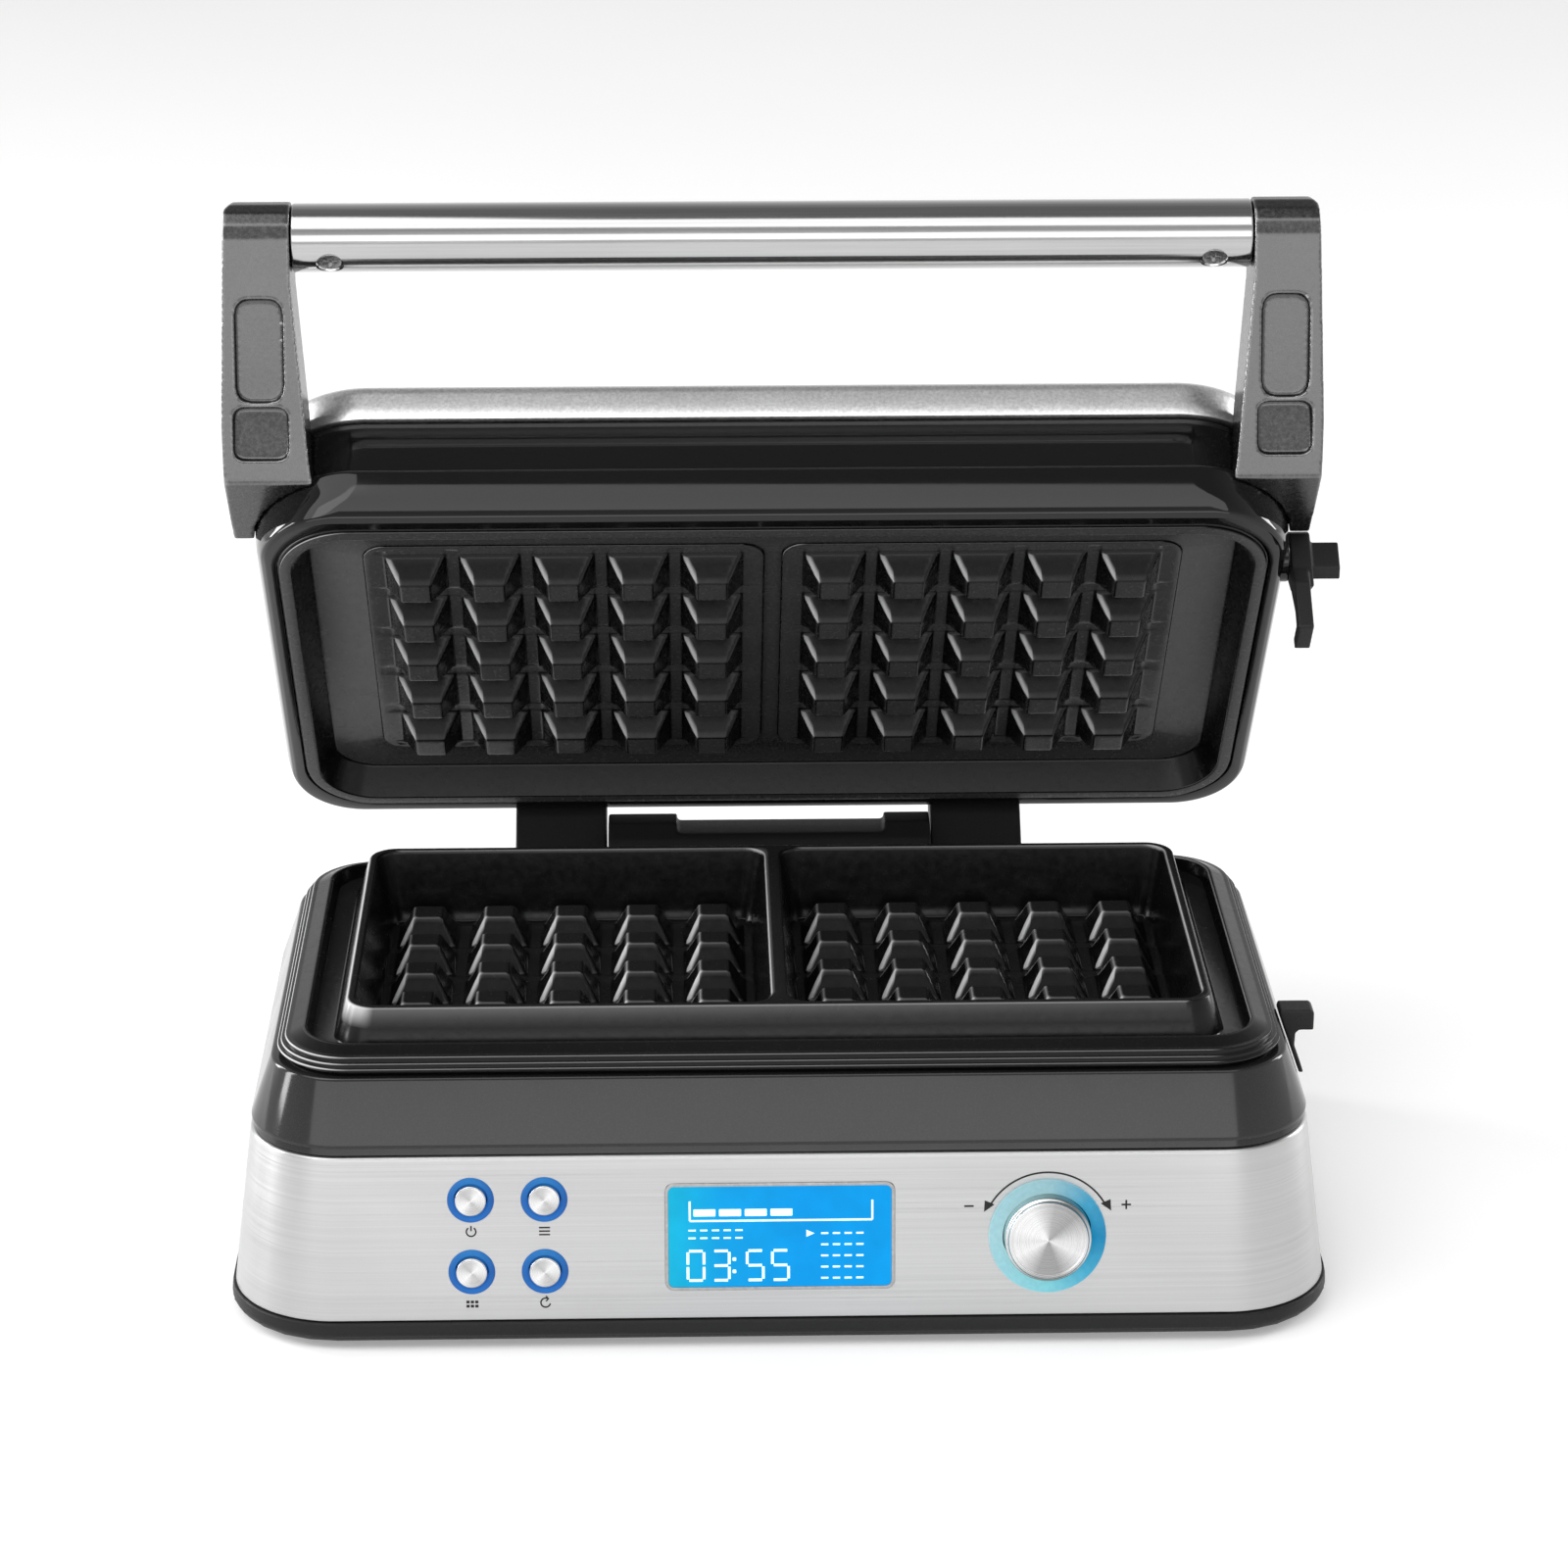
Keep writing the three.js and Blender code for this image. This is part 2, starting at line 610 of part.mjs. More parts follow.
/** Low spun-metal knob with a skirt and a socket for its shaft. */
function controlKnob() {
  const { skirt, radius, height } = KNOB;
  const socket = 3.3;
  const socketTop = height - 1.6;
  const knob = panelTurned(KNOB.x, KNOB.v, [
    [socket, -1.4], [skirt, -1.4], [skirt, height - 1.2], [radius, height - 0.4],
    [radius - 0.6, height], [0, height], [0, socketTop], [socket, socketTop], [socket, -1.4],
  ], 32);
  return piece('control_knob', knob, STEEL);
}

/** Encoder shaft, which turns with the knob. */
function knobShaft() {
  const top = KNOB.height - 1.9;
  const shaft = panelTurned(KNOB.x, KNOB.v, [[0, -12], [3, -12], [3, top], [0, top]], 16);
  return piece('knob_shaft', shaft, SATIN);
}

/** Push button: a round metal cap on a slim plunger. */
function pushButton(name, x, v) {
  const { cap, proud } = BUTTON;
  const button = panelTurned(x, v, [
    [0, -9.8], [1.6, -9.8], [1.6, -1.6], [cap, -1.6], [cap, proud - 0.4],
    [cap - 0.4, proud], [0, proud],
  ], 16);
  return piece(name, button, STEEL);
}

// ---------------------------------------------------------------- the lid, drawn shut

/** Outer skin of the lid housing, grown by a margin. */
function housingSkin(grow = 0) {
  return block([
    level(LID.lip - grow, { ...FLANGE, r: 23.5 }, 3.5 - grow),
    level(83.2, { ...FLANGE, r: 25 }, 2.2 - grow),
    level(87, { ...FLANGE, r: 28 }, 1.1 - grow),
    level(92, FLANGE, 0.3 - grow),
    level(LID.flangeTop + grow, FLANGE, -grow),
    level(LID.flangeTop + grow, LID_WALL, -grow),
    level(LID.wallTop, LID_WALL, 0.8 - grow),
  ]);
}

/** Glossy housing: the flared flange around the upper plate and the wall above it. */
function lidHousing() {
  const wall = 2.6;
  const seatTop = UPPER.shoulder + GAP;
  let housing = housingSkin();
  housing = housing.add(rod(142, LATCH.inner - GAP, LATCH.y, LATCH.z, 6));
  housing = housing.subtract(block([level(LID.lip - 1, PLATE, -GAP), level(seatTop, PLATE, -GAP)]));
  housing = housing.subtract(block([
    level(seatTop - 1, PLATE, 5.6),
    level(90, PLATE, 5.6),
    level(90, FLANGE, 8),
    level(LID.flangeTop, LID_WALL, wall),
    level(LID.wallTop + 1, LID_WALL, wall + 0.8),
  ]));
  housing = housing.subtract(rod(130, 150, LATCH.y, LATCH.z, LATCH.pin + GAP, 16));
  return piece('lid_housing', housing, GLOSS_BLACK);
}

/** Outer skin of the metal cover, grown by a margin. */
function coverSkin(grow = 0) {
  return block([
    level(LID.wallTop + GAP, COVER, -grow),
    level(LID.coverTop - 4.2, COVER, 0.4 - grow),
    level(LID.coverTop - 1.3, COVER, 2.4 - grow),
    level(LID.coverTop + grow, COVER, 6),
    level(LID.coverTop + 1.6 + grow, COVER, 38),
  ]);
}

/** Satin metal cover, a pressed dish upside down. */
function lidCover() {
  const sheet = 1.3;
  const hollow = block([
    level(LID.wallTop - 1, COVER, sheet),
    level(LID.coverTop - 4.6, COVER, sheet + 0.5),
    level(LID.coverTop - sheet, COVER, 6.6),
    level(LID.coverTop - sheet + 1.5, COVER, 38),
  ]);
  return piece('lid_cover', coverSkin().subtract(hollow), SATIN);
}

/** Die-cast upper plate, pegs down on two low pads. Its recess takes the lower plate's wall. */
function upperPlate() {
  let plate = block([
    level(UPPER.rim, PLATE, 0.6),
    level(UPPER.rim + 1, PLATE, 0.6),
    level(UPPER.rim + 1, PLATE),
    level(UPPER.shoulder, PLATE),
    level(UPPER.shoulder, PLATE, 6.2),
    level(UPPER.top, PLATE, 7),
  ]);
  plate = plate.subtract(block([
    level(UPPER.rim - 1, PLATE, 4),
    level(UPPER.rim, PLATE, 4),
    level(UPPER.ledge, PLATE, 8.4),
  ]));
  const pad = { x: 56.4, y: 54, r: 6 };
  for (const side of [-1, 1]) {
    plate = plate.add(block([level(UPPER.floor, pad), level(UPPER.ledge + 1, pad)],
      side * POCKET.centre));
  }
  return piece('upper_plate', withPegs(plate, UPPER.floor + 0.5, UPPER.rim), COATING);
}

/** Direction up the handle arms and the direction through their thickness, in side view. */
function armAxes() {
  const up = new THREE.Vector2(HANDLE.y - HANDLE.footY, HANDLE.z - HANDLE.footZ);
  up.normalize();
  return { up, across: new THREE.Vector2(up.y, -up.x) };
}

/** Puts a geometry drawn on an arm (X right, Y up the arm from the bar, Z out of its front). */
function onArm(geometry) {
  const { up, across } = armAxes();
  const frame = new THREE.Matrix4().makeBasis(
    new THREE.Vector3(1, 0, 0),
    new THREE.Vector3(0, up.x, up.y),
    new THREE.Vector3(0, across.x, across.y).negate(),
  ).setPosition(0, HANDLE.y, HANDLE.z);
  geometry.applyMatrix4(frame);
  return solid(geometry);
}

/** Cutter for a pocket in an arm's front, round-cornered, with its own depth at each end. */
function armPocket({ x0, x1, y0, y1, round, depthLow, depthHigh }) {
  const outline = new THREE.Shape();
  outline.moveTo(x0, y0 + round);
  outline.lineTo(x0, y1 - round);
  outline.quadraticCurveTo(x0, y1, x0 + round, y1);
  outline.lineTo(x1 - round, y1);
  outline.quadraticCurveTo(x1, y1, x1, y1 - round);
  outline.lineTo(x1, y0 + round);
  outline.quadraticCurveTo(x1, y0, x1 - round, y0);
  outline.lineTo(x0 + round, y0);
  outline.quadraticCurveTo(x0, y0, x0, y0 + round);
  const geometry = new THREE.ExtrudeGeometry(outline, {
    depth: 9, bevelEnabled: false, curveSegments: 4,
  });
  const position = geometry.attributes.position;
  for (let i = 0; i < position.count; i += 1) {
    const share = (position.getY(i) - y0) / (y1 - y0);
    const floor = ARM.thick / 2 - depthLow - (depthHigh - depthLow) * share;
    position.setZ(i, position.getZ(i) === 0 ? floor : ARM.thick / 2 + 5);
  }
  return onArm(geometry);
}

/** Right handle arm; the left one is its mirror image. */
function armSolid() {
  const { up, across } = armAxes();
  const half = ARM.thick / 2;
  const reach = 90;
  const front = new THREE.Shape([
    [ARM.inner, half], [ARM.outer - 2, half], [ARM.outer, half - 2], [ARM.bulge, -52],
    [ARM.low, -reach], [ARM.innerLow - 4, -reach], [ARM.innerLow, -62], [ARM.inner, -12],
  ].map(([x, y]) => new THREE.Vector2(x, y)));
  const plate = new THREE.ExtrudeGeometry(front, { depth: 4 * half, bevelEnabled: false });
  plate.translate(0, 0, -2.5 * half);

  const at = (along, through) => [
    HANDLE.y + up.x * along + across.x * through,
    HANDLE.z + up.y * along + across.y * through,
  ];
  const cap = [];
  const capSteps = 8;
  for (let i = 0; i <= capSteps; i += 1) {
    const angle = (Math.PI * i) / capSteps;
    cap.push(at(half * Math.sin(angle), half * Math.cos(angle)));
  }
  const side = [...cap, [-80.1, ARM.foot], [-53, ARM.foot], [-50, 100], [-69.5, 112]];
  let arm = onArm(plate).intersect(sideProfile(side, 100, 160));
  arm = arm.add(rod(112, ARM.inner + 1, HANDLE.y, HANDLE.z, HANDLE.bore - GAP));
  arm = arm.subtract(housingSkin(GAP)).subtract(coverSkin(GAP));
  arm = arm.subtract(block([
    level(LID.lip, FLANGE, -GAP), level(LID.flangeTop + GAP, FLANGE, -GAP),
  ]));
  arm = arm.subtract(armPocket(ARM_POCKET)).subtract(armPocket(ARM_SCOOP));
  arm = arm.subtract(post(HANDLE.screwX, HANDLE.y, HANDLE.z - 12, HANDLE.z + 2, 1.8, 1.8, 12));
  return arm;
}

/** Handle tube with a countersunk hole near each end. */
function handleTube() {
  let bar = rod(-HANDLE.tubeHalf, HANDLE.tubeHalf, HANDLE.y, HANDLE.z, HANDLE.tube, 28);
  bar = bar.subtract(
    rod(-HANDLE.tubeHalf - 1, HANDLE.tubeHalf + 1, HANDLE.y, HANDLE.z, HANDLE.bore, 28),
  );
  for (const x of [-HANDLE.screwX, HANDLE.screwX]) {
    bar = bar.subtract(post(x, HANDLE.y, HANDLE.z - 12, HANDLE.z - 5, 3.7, 3.7, 14));
  }
  return piece('handle_tube', bar, STEEL);
}

/** Screw that holds one end of the tube to its arm, head down. */
function handleScrew(name, x) {
  const head = post(x, HANDLE.y, HANDLE.z - 9.2, HANDLE.z - 8, 3.3, 3.3, 14);
  const shank = post(x, HANDLE.y, HANDLE.z - 8, HANDLE.z + 1.5, 1.4, 1.4, 10);
  return piece(name, head.add(shank), STEEL);
}

/** Moving hinge leaf, from its barrel up to the back of the lid housing. */
function hingeKnuckle(name, x0, x1) {
  const { y, z, barrel } = HINGE;
  const profile = [
    [FLANGE.y + GAP + 0.1, 84], [FLANGE.y + GAP + 0.1, 98.5], [87, 98.5], [92, 89],
    ...arc(y, z, barrel, 30, -170, 10),
  ];
  let leaf = sideProfile(profile, x0, x1);
  leaf = leaf.subtract(rod(x0 - 1, x1 + 1, y, z, HINGE.pin + GAP));
  return piece(name, leaf, MATTE_BLACK);
}

/** Shoulder pin that the latch lever turns on. */
function latchPin() {
  const head = rod(137.5, 139.5, LATCH.y, LATCH.z, 1.9, 14);
  return piece('latch_pin', rod(139, 151, LATCH.y, LATCH.z, LATCH.pin, 14).add(head), STEEL);
}

/** Latch lever: hub block, neck and foot in one, with a thumb tab. */
function latchLever() {
  const at = ([y, z]) => [LATCH.y + y, LATCH.z + z];
  const hub = [[-5, -8], [-5, 6], [-3, 8], [3, 8], [5, 6], [5, -4], [2, -9], [-5, -12]];
  const foot = [
    [-5, -6], [5, -4], [1, -10], [-3, -19.5], [-3, -23.9], [4, -23.8], [4, -27.2], [-7.5, -27.2],
    [-7.5, -12],
  ];
  const tab = [[-4, -5], [-4, 3.5], [-2.5, 4.5], [1, 4.5], [1, -5], [-1, -7]];
  let lever = sideProfile(hub.map(at), LATCH.inner, LATCH.outer);
  lever = lever.add(sideProfile(foot.map(at), LATCH.inner, LATCH.outer - 1.5));
  lever = lever.add(sideProfile(tab.map(at), LATCH.outer - 1, LATCH.tabEnd));
  lever = lever.subtract(rod(LATCH.inner - 2, 151.5, LATCH.y, LATCH.z, LATCH.pin + GAP, 16));
  return piece('latch_lever', lever, MATTE_BLACK);
}

// ---------------------------------------------------------------- assembly

function baseParts() {
  const parts = [
    baseTray(), baseShell(), baseCollar(), lowerPlate(),
    heatingElement('lower_heating_element', LOWER.bottom - GAP - 3.2),
    reflector('lower_reflector', LOWER.bottom - 1, 46),
    thermostat('lower_thermostat', LOWER.bottom - GAP, -1),
    thermalFuse(), powerBoard(), controlBoard(), displayModule(), displayWindow(),
    knobEncoder(), knobLightRing(), catchBracket(), hingeBlock(), hingePin(), cordGland(),
  ];
  for (const [name, [x, y]] of Object.entries(FEET)) {
    parts.push(foot(name, x, y));
  }
  POSTS.forEach(([x, y], i) => parts.push(trayScrew(`tray_screw_${i + 1}`, x, y)));
  return parts;
}

function panelParts() {
  const parts = [controlKnob(), knobShaft()];
  let number = 1;
  for (const v of BUTTON.rows) {
    for (const x of BUTTON.columns) {
      parts.push(pushButton(`button_${number}`, x, v));
      parts.push(buttonLight(`button_light_${number}`, x, v));
      number += 1;
    }
  }
  return parts;
}

function lidParts() {
  const arm = armSolid();
  return [
    lidHousing(), lidCover(), upperPlate(),
    heatingElement('upper_heating_element', UPPER.top + GAP + 3.2),
    reflector('upper_reflector', UPPER.top + 1, 110),
    thermostat('upper_thermostat', UPPER.top + GAP, 1),
    piece('handle_arm_right', arm, SATIN),
    piece('handle_arm_left', arm.mirror([1, 0, 0]), SATIN),
    handleTube(),
    handleScrew('handle_screw_left', -HANDLE.screwX),
    handleScrew('handle_screw_right', HANDLE.screwX),
    hingeKnuckle('hinge_knuckle_left', -HINGE.leafEnd, -HINGE.blockHalf - 0.6),
    hingeKnuckle('hinge_knuckle_right', HINGE.blockHalf + 0.6, HINGE.leafEnd),
    latchPin(), latchLever(),
  ];
}

const lidShut = new THREE.Group();
lidShut.position.set(0, -HINGE.y, -HINGE.z);
lidShut.add(...lidParts());

const lid = new THREE.Group();
lid.position.set(0, HINGE.y, HINGE.z);
lid.rotation.x = -OPEN_ANGLE;
lid.add(lidShut);

const waffleMaker = new THREE.Group();
waffleMaker.add(...baseParts(), ...panelParts(), lid);
const bounds = new THREE.Box3().setFromObject(waffleMaker, true);
const middle = bounds.getCenter(new THREE.Vector3());
waffleMaker.position.set(-middle.x, -middle.y, -bounds.min.z);

export default waffleMaker;
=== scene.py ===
"""Looks of a double waffle maker that stands open: detailed meshes and node materials.

Shapes are drawn in millimetres in four spaces. BASE and LID are centred on the plates and drawn with
the lid shut, PANEL lies on the sloping front panel, and a local space is centred on one knob or key.
"""

import json
import math

import bmesh
import bpy
import numpy as np
from mathutils import Matrix, Vector


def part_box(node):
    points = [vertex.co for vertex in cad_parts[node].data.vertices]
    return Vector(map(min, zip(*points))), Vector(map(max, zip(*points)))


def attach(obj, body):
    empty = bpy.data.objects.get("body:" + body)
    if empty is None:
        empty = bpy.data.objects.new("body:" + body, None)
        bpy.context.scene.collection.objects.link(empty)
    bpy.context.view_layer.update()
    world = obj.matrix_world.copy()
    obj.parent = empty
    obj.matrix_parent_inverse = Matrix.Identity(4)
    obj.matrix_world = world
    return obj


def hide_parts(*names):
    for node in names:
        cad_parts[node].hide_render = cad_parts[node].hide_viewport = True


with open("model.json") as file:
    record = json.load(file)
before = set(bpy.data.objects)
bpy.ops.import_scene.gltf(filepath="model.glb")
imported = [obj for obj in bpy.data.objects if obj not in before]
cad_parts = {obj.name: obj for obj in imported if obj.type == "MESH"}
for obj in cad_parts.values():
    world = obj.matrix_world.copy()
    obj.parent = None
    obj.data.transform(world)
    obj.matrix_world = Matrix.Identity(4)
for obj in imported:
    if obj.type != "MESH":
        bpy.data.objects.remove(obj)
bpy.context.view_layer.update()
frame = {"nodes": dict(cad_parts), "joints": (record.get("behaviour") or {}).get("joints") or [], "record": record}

# ---------------------------------------------------------------- sizes, in millimetres

MM = 0.001
OPEN_ANGLE = math.radians(51.5)

# outlines as (half x, half y, corner radius); a tapered wall has one for its foot and one for its top
TRIM = (153.1, 88.7, 31.1)
BAND_Z, BAND = (8.6, 54.7), ((152, 87.6, 30), (146.2, 81, 26))
COLLAR_Z, COLLAR = (57.3, 75.4), ((146.2, 81, 26), (139.8, 74, 20))
LOWER_RIM = (138.2, 74.3, 21)
UPPER_RIM = (139.6, 74.3, 21)
COVER = (143.8, 80, 30)
PEG = {"pitch": 21, "rows": 5, "base": 8.5, "tip": 4.1, "soft": 0.14}  # soft rounds its corners
POCKET_X = 59.4
LOWER = {"floor": 68.2, "tip": 76.7, "top": 89.7}
UPPER = {"floor": 89.3, "tip": 81.1, "top": 90.2}

PANEL_LOW, PANEL_HIGH = (-BAND[0][1], BAND_Z[0]), (-BAND[1][1], BAND_Z[1])  # (y, z) of its edges
KNOB_AT = (72.5, -0.6)
KNOB_RING = 16
KEY_COLUMNS, KEY_ROWS = (-84.8, -64.8), (11.1, -9.4)
KEY_CAP, KEY_RING = 4.3, 6.3
HOLE_GAP = 0.1  # between a light ring and its hole in the band
SCREEN_X, SCREEN_HALF = -0.6, (31.1, 15.0)
ARC_RADIUS, SIGN_WIDTH = 18.0, 0.5
PRINTED = (0, 0.06)  # heights of a printed mark, out from the panel
LIT = (0.24, 0.3)  # heights of a mark on the screen

BAR = {"y": -115, "z": 152.3, "radius": 9.5, "half": 133, "screw": 122.5, "screw_depth": 8.5}
CORD_AT = (96, 86.2, 24)

# ---------------------------------------------------------------- spaces

plate_low, plate_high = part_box("lower_plate")
plates = (plate_low + plate_high) / 2
BASE = Matrix.Translation((plates.x, plates.y, 0))
hinge = Vector(next(j["pos_m"] for j in frame["joints"] if j["name"] == "lid_hinge"))
LID = Matrix.Translation(hinge) @ Matrix.Rotation(-OPEN_ANGLE, 4, "X")
LID = LID @ Matrix.Translation(-hinge) @ BASE


def panel_space():
    """X right, Y up the panel and Z straight out of it, from the middle of the panel."""
    low, high = Vector((0, *PANEL_LOW)), Vector((0, *PANEL_HIGH))
    up = (high - low).normalized()
    right = Vector((1, 0, 0))
    axes = Matrix((right, up, right.cross(up))).transposed().to_4x4()
    return BASE @ Matrix.Translation((low + high) / 2 * MM) @ axes


PANEL = panel_space()


def on_panel(x, v):
    """Space of a knob or key whose axis stands on the panel at x, v."""
    return PANEL @ Matrix.Translation((x * MM, v * MM, 0))


# ---------------------------------------------------------------- materials


def new_material(name):
    material = bpy.data.materials.new(name)
    material.use_nodes = True
    tree = material.node_tree
    return material, tree, tree.nodes["Principled BSDF"]


def add(tree, kind, **settings):
    node = tree.nodes.new(kind)
    for key, value in settings.items():
        setattr(node, key, value)
    return node


def place(tree, scale):
    """Object coordinates stretched by a scale for each axis."""
    mapping = add(tree, "ShaderNodeMapping")
    mapping.inputs["Scale"].default_value = scale
    tree.links.new(add(tree, "ShaderNodeTexCoord").outputs["Object"], mapping.inputs["Vector"])
    return mapping.outputs["Vector"]


def noise(tree, scale, detail=3.0, roughness=0.55):
    node = add(tree, "ShaderNodeTexNoise")
    node.inputs["Scale"].default_value = 1.0
    node.inputs["Detail"].default_value = detail
    node.inputs["Roughness"].default_value = roughness
    tree.links.new(place(tree, scale), node.inputs["Vector"])
    return node.outputs["Fac"]


def ramp(tree, value, stops):
    """A colour ramp; a stop is (position, grey) or (position, (r, g, b))."""
    node = add(tree, "ShaderNodeValToRGB")
    elements = node.color_ramp.elements
    while len(elements) < len(stops):
        elements.new(0.5)
    for element, (position, colour) in zip(elements, stops):
        rgb = (colour,) * 3 if isinstance(colour, (int, float)) else colour
        element.position = position
        element.color = (*rgb, 1)
    tree.links.new(value, node.inputs["Fac"])
    return node.outputs["Color"]


def facing(tree, direction, low, high):
    """Grows from 0 to 1 as a surface turns to face a direction of the model."""
    dot = add(tree, "ShaderNodeVectorMath", operation="DOT_PRODUCT")
    dot.inputs[1].default_value = direction
    tree.links.new(add(tree, "ShaderNodeTexCoord").outputs["Normal"], dot.inputs[0])
    return ramp(tree, dot.outputs["Value"], [(low, 0), (high, 1)])


def bump(tree, shader, height, strength, distance):
    """Bumps from a noise; the distance is in metres."""
    node = add(tree, "ShaderNodeBump")
    node.inputs["Strength"].default_value = strength
    node.inputs["Distance"].default_value = distance
    tree.links.new(height, node.inputs["Height"])
    tree.links.new(node.outputs["Normal"], shader.inputs["Normal"])


def multiply(tree, a, b):
    node = add(tree, "ShaderNodeMix", data_type="RGBA", blend_type="MULTIPLY")
    node.inputs["Factor"].default_value = 1
    tree.links.new(a, node.inputs["A"])
    tree.links.new(b, node.inputs["B"])
    return node.outputs["Result"]


def brushed_steel(name, level, scale, roughness, anisotropy, turn=0.0):
    """Metal with fine parallel brush lines and slow cloudy variation."""
    material, tree, shader = new_material(name)
    lines = noise(tree, scale, 5, 0.75)
    clouds = noise(tree, (14, 14, 30), 2)
    fine = ramp(tree, lines, [(0.3, level * 0.86), (0.7, level * 1.04)])
    slow = ramp(tree, clouds, [(0.25, 0.93), (0.75, 1.0)])
    tree.links.new(multiply(tree, fine, slow), shader.inputs["Base Color"])
    low, high = roughness
    tree.links.new(ramp(tree, lines, [(0.3, low), (0.7, high)]), shader.inputs["Roughness"])
    shader.inputs["Metallic"].default_value = 1
    shader.inputs["Anisotropic"].default_value = anisotropy
    shader.inputs["Anisotropic Rotation"].default_value = turn
    bump(tree, shader, lines, 0.06, 0.00004)
    return material


def grainy_metal(name, level, roughness, grain, painted_edge_strength=0.0):
    """Die-cast or blasted metal with a fine grain, optionally with painted highlights along its edges and painted
    shade in its creases.
    """
    material, tree, shader = new_material(name)
    grains = noise(tree, (grain,) * 3, 3, 0.7)
    clouds = noise(tree, (35, 35, 35), 3)
    fine = ramp(tree, grains, [(0.3, level * 0.8), (0.72, level * 1.12)])
    slow = ramp(tree, clouds, [(0.3, 0.95), (0.7, 1.0)])
    colour = multiply(tree, fine, slow)
    if painted_edge_strength:
        # painted shade in creases and painted highlight along edges, both from pointiness
        edges = add(tree, "ShaderNodeNewGeometry").outputs["Pointiness"]
        painted_edge_shading = ramp(tree, edges, [(0.42, 0.45), (0.49, 1.0), (0.51, 1.0), (0.58, 1.0 + painted_edge_strength)])
        colour = multiply(tree, colour, painted_edge_shading)
    tree.links.new(colour, shader.inputs["Base Color"])
    low, high = roughness
    tree.links.new(ramp(tree, grains, [(0.3, low), (0.7, high)]), shader.inputs["Roughness"])
    shader.inputs["Metallic"].default_value = 1
    bump(tree, shader, grains, 0.3, 0.00006)
    return material


def gloss_plastic(name, level, roughness):
    """Polished moulding with faint polishing haze."""
    material, tree, shader = new_material(name)
    haze = noise(tree, (60, 60, 60), 4)
    dust = noise(tree, (2600, 2600, 2600), 2)
    tree.links.new(ramp(tree, dust, [(0.45, level), (0.78, level * 1.7)]), shader.inputs["Base Color"])
    low, high = roughness
    tree.links.new(ramp(tree, haze, [(0.3, low), (0.7, high)]), shader.inputs["Roughness"])
    shader.inputs["Specular IOR Level"].default_value = 0.42
    return material


def textured_plastic(name, level, roughness=(0.42, 0.6), grain=2200):
    """Matt moulding with a fine spark texture."""
    material, tree, shader = new_material(name)
    grains = noise(tree, (grain,) * 3, 3, 0.7)
    tree.links.new(ramp(tree, grains, [(0.3, level * 0.75), (0.7, level * 1.4)]),
                   shader.inputs["Base Color"])
    low, high = roughness
    tree.links.new(ramp(tree, grains, [(0.3, high), (0.7, low)]), shader.inputs["Roughness"])
    shader.inputs["Specular IOR Level"].default_value = 0.3
    bump(tree, shader, grains, 0.35, 0.00008)
    return material


PAINTED_EDGE_HIGHLIGHT = 0.5  # grey of the painted highlight on the coating's edges
HIGHLIGHT_SIDE = (-0.75, -0.45, 0.5)  # the painted highlight falls only on edges that face this way on the object


def plate_coating(name, level, painted_sheen_level, direction, roughness):
    """Dark non-stick coating with pale specks, a painted sheen where it faces a direction squarely, and painted
    highlights on edges facing one side.
    """
    material, tree, shader = new_material(name)
    specks = noise(tree, (1900, 1900, 1900), 3, 0.8)
    pebbles = noise(tree, (420, 420, 420), 3)
    # painted sheen: faces that look squarely along the direction get a greyer colour, standing in for light
    painted_sheen = add(tree, "ShaderNodeMix", data_type="RGBA")
    painted_sheen.inputs["A"].default_value = (level,) * 3 + (1,)
    painted_sheen.inputs["B"].default_value = (painted_sheen_level,) * 3 + (1,)
    tree.links.new(facing(tree, direction, 0.9, 0.995), painted_sheen.inputs["Factor"])
    speckle = ramp(tree, specks, [(0.4, 0.75), (0.6, 1.0), (0.72, 2.2)])
    colour = multiply(tree, painted_sheen.outputs["Result"], speckle)
    # painted highlight: sharp edges that face one side of the object are painted pale
    painted_edge_shading = add(tree, "ShaderNodeMix", data_type="RGBA")
    painted_edge_shading.inputs["B"].default_value = (PAINTED_EDGE_HIGHLIGHT,) * 3 + (1,)
    edges = add(tree, "ShaderNodeNewGeometry").outputs["Pointiness"]
    sharp = ramp(tree, edges, [(0.508, 0.0), (0.535, 1)])
    faces_highlight_side = facing(tree, HIGHLIGHT_SIDE, 0.58, 0.85)
    tree.links.new(multiply(tree, sharp, faces_highlight_side), painted_edge_shading.inputs["Factor"])
    tree.links.new(colour, painted_edge_shading.inputs["A"])
    tree.links.new(painted_edge_shading.outputs["Result"], shader.inputs["Base Color"])
    low, high = roughness
    tree.links.new(ramp(tree, pebbles, [(0.3, low), (0.7, high)]), shader.inputs["Roughness"])
    shader.inputs["Specular IOR Level"].default_value = 0.24
    bump(tree, shader, pebbles, 0.16, 0.00012)
    return material


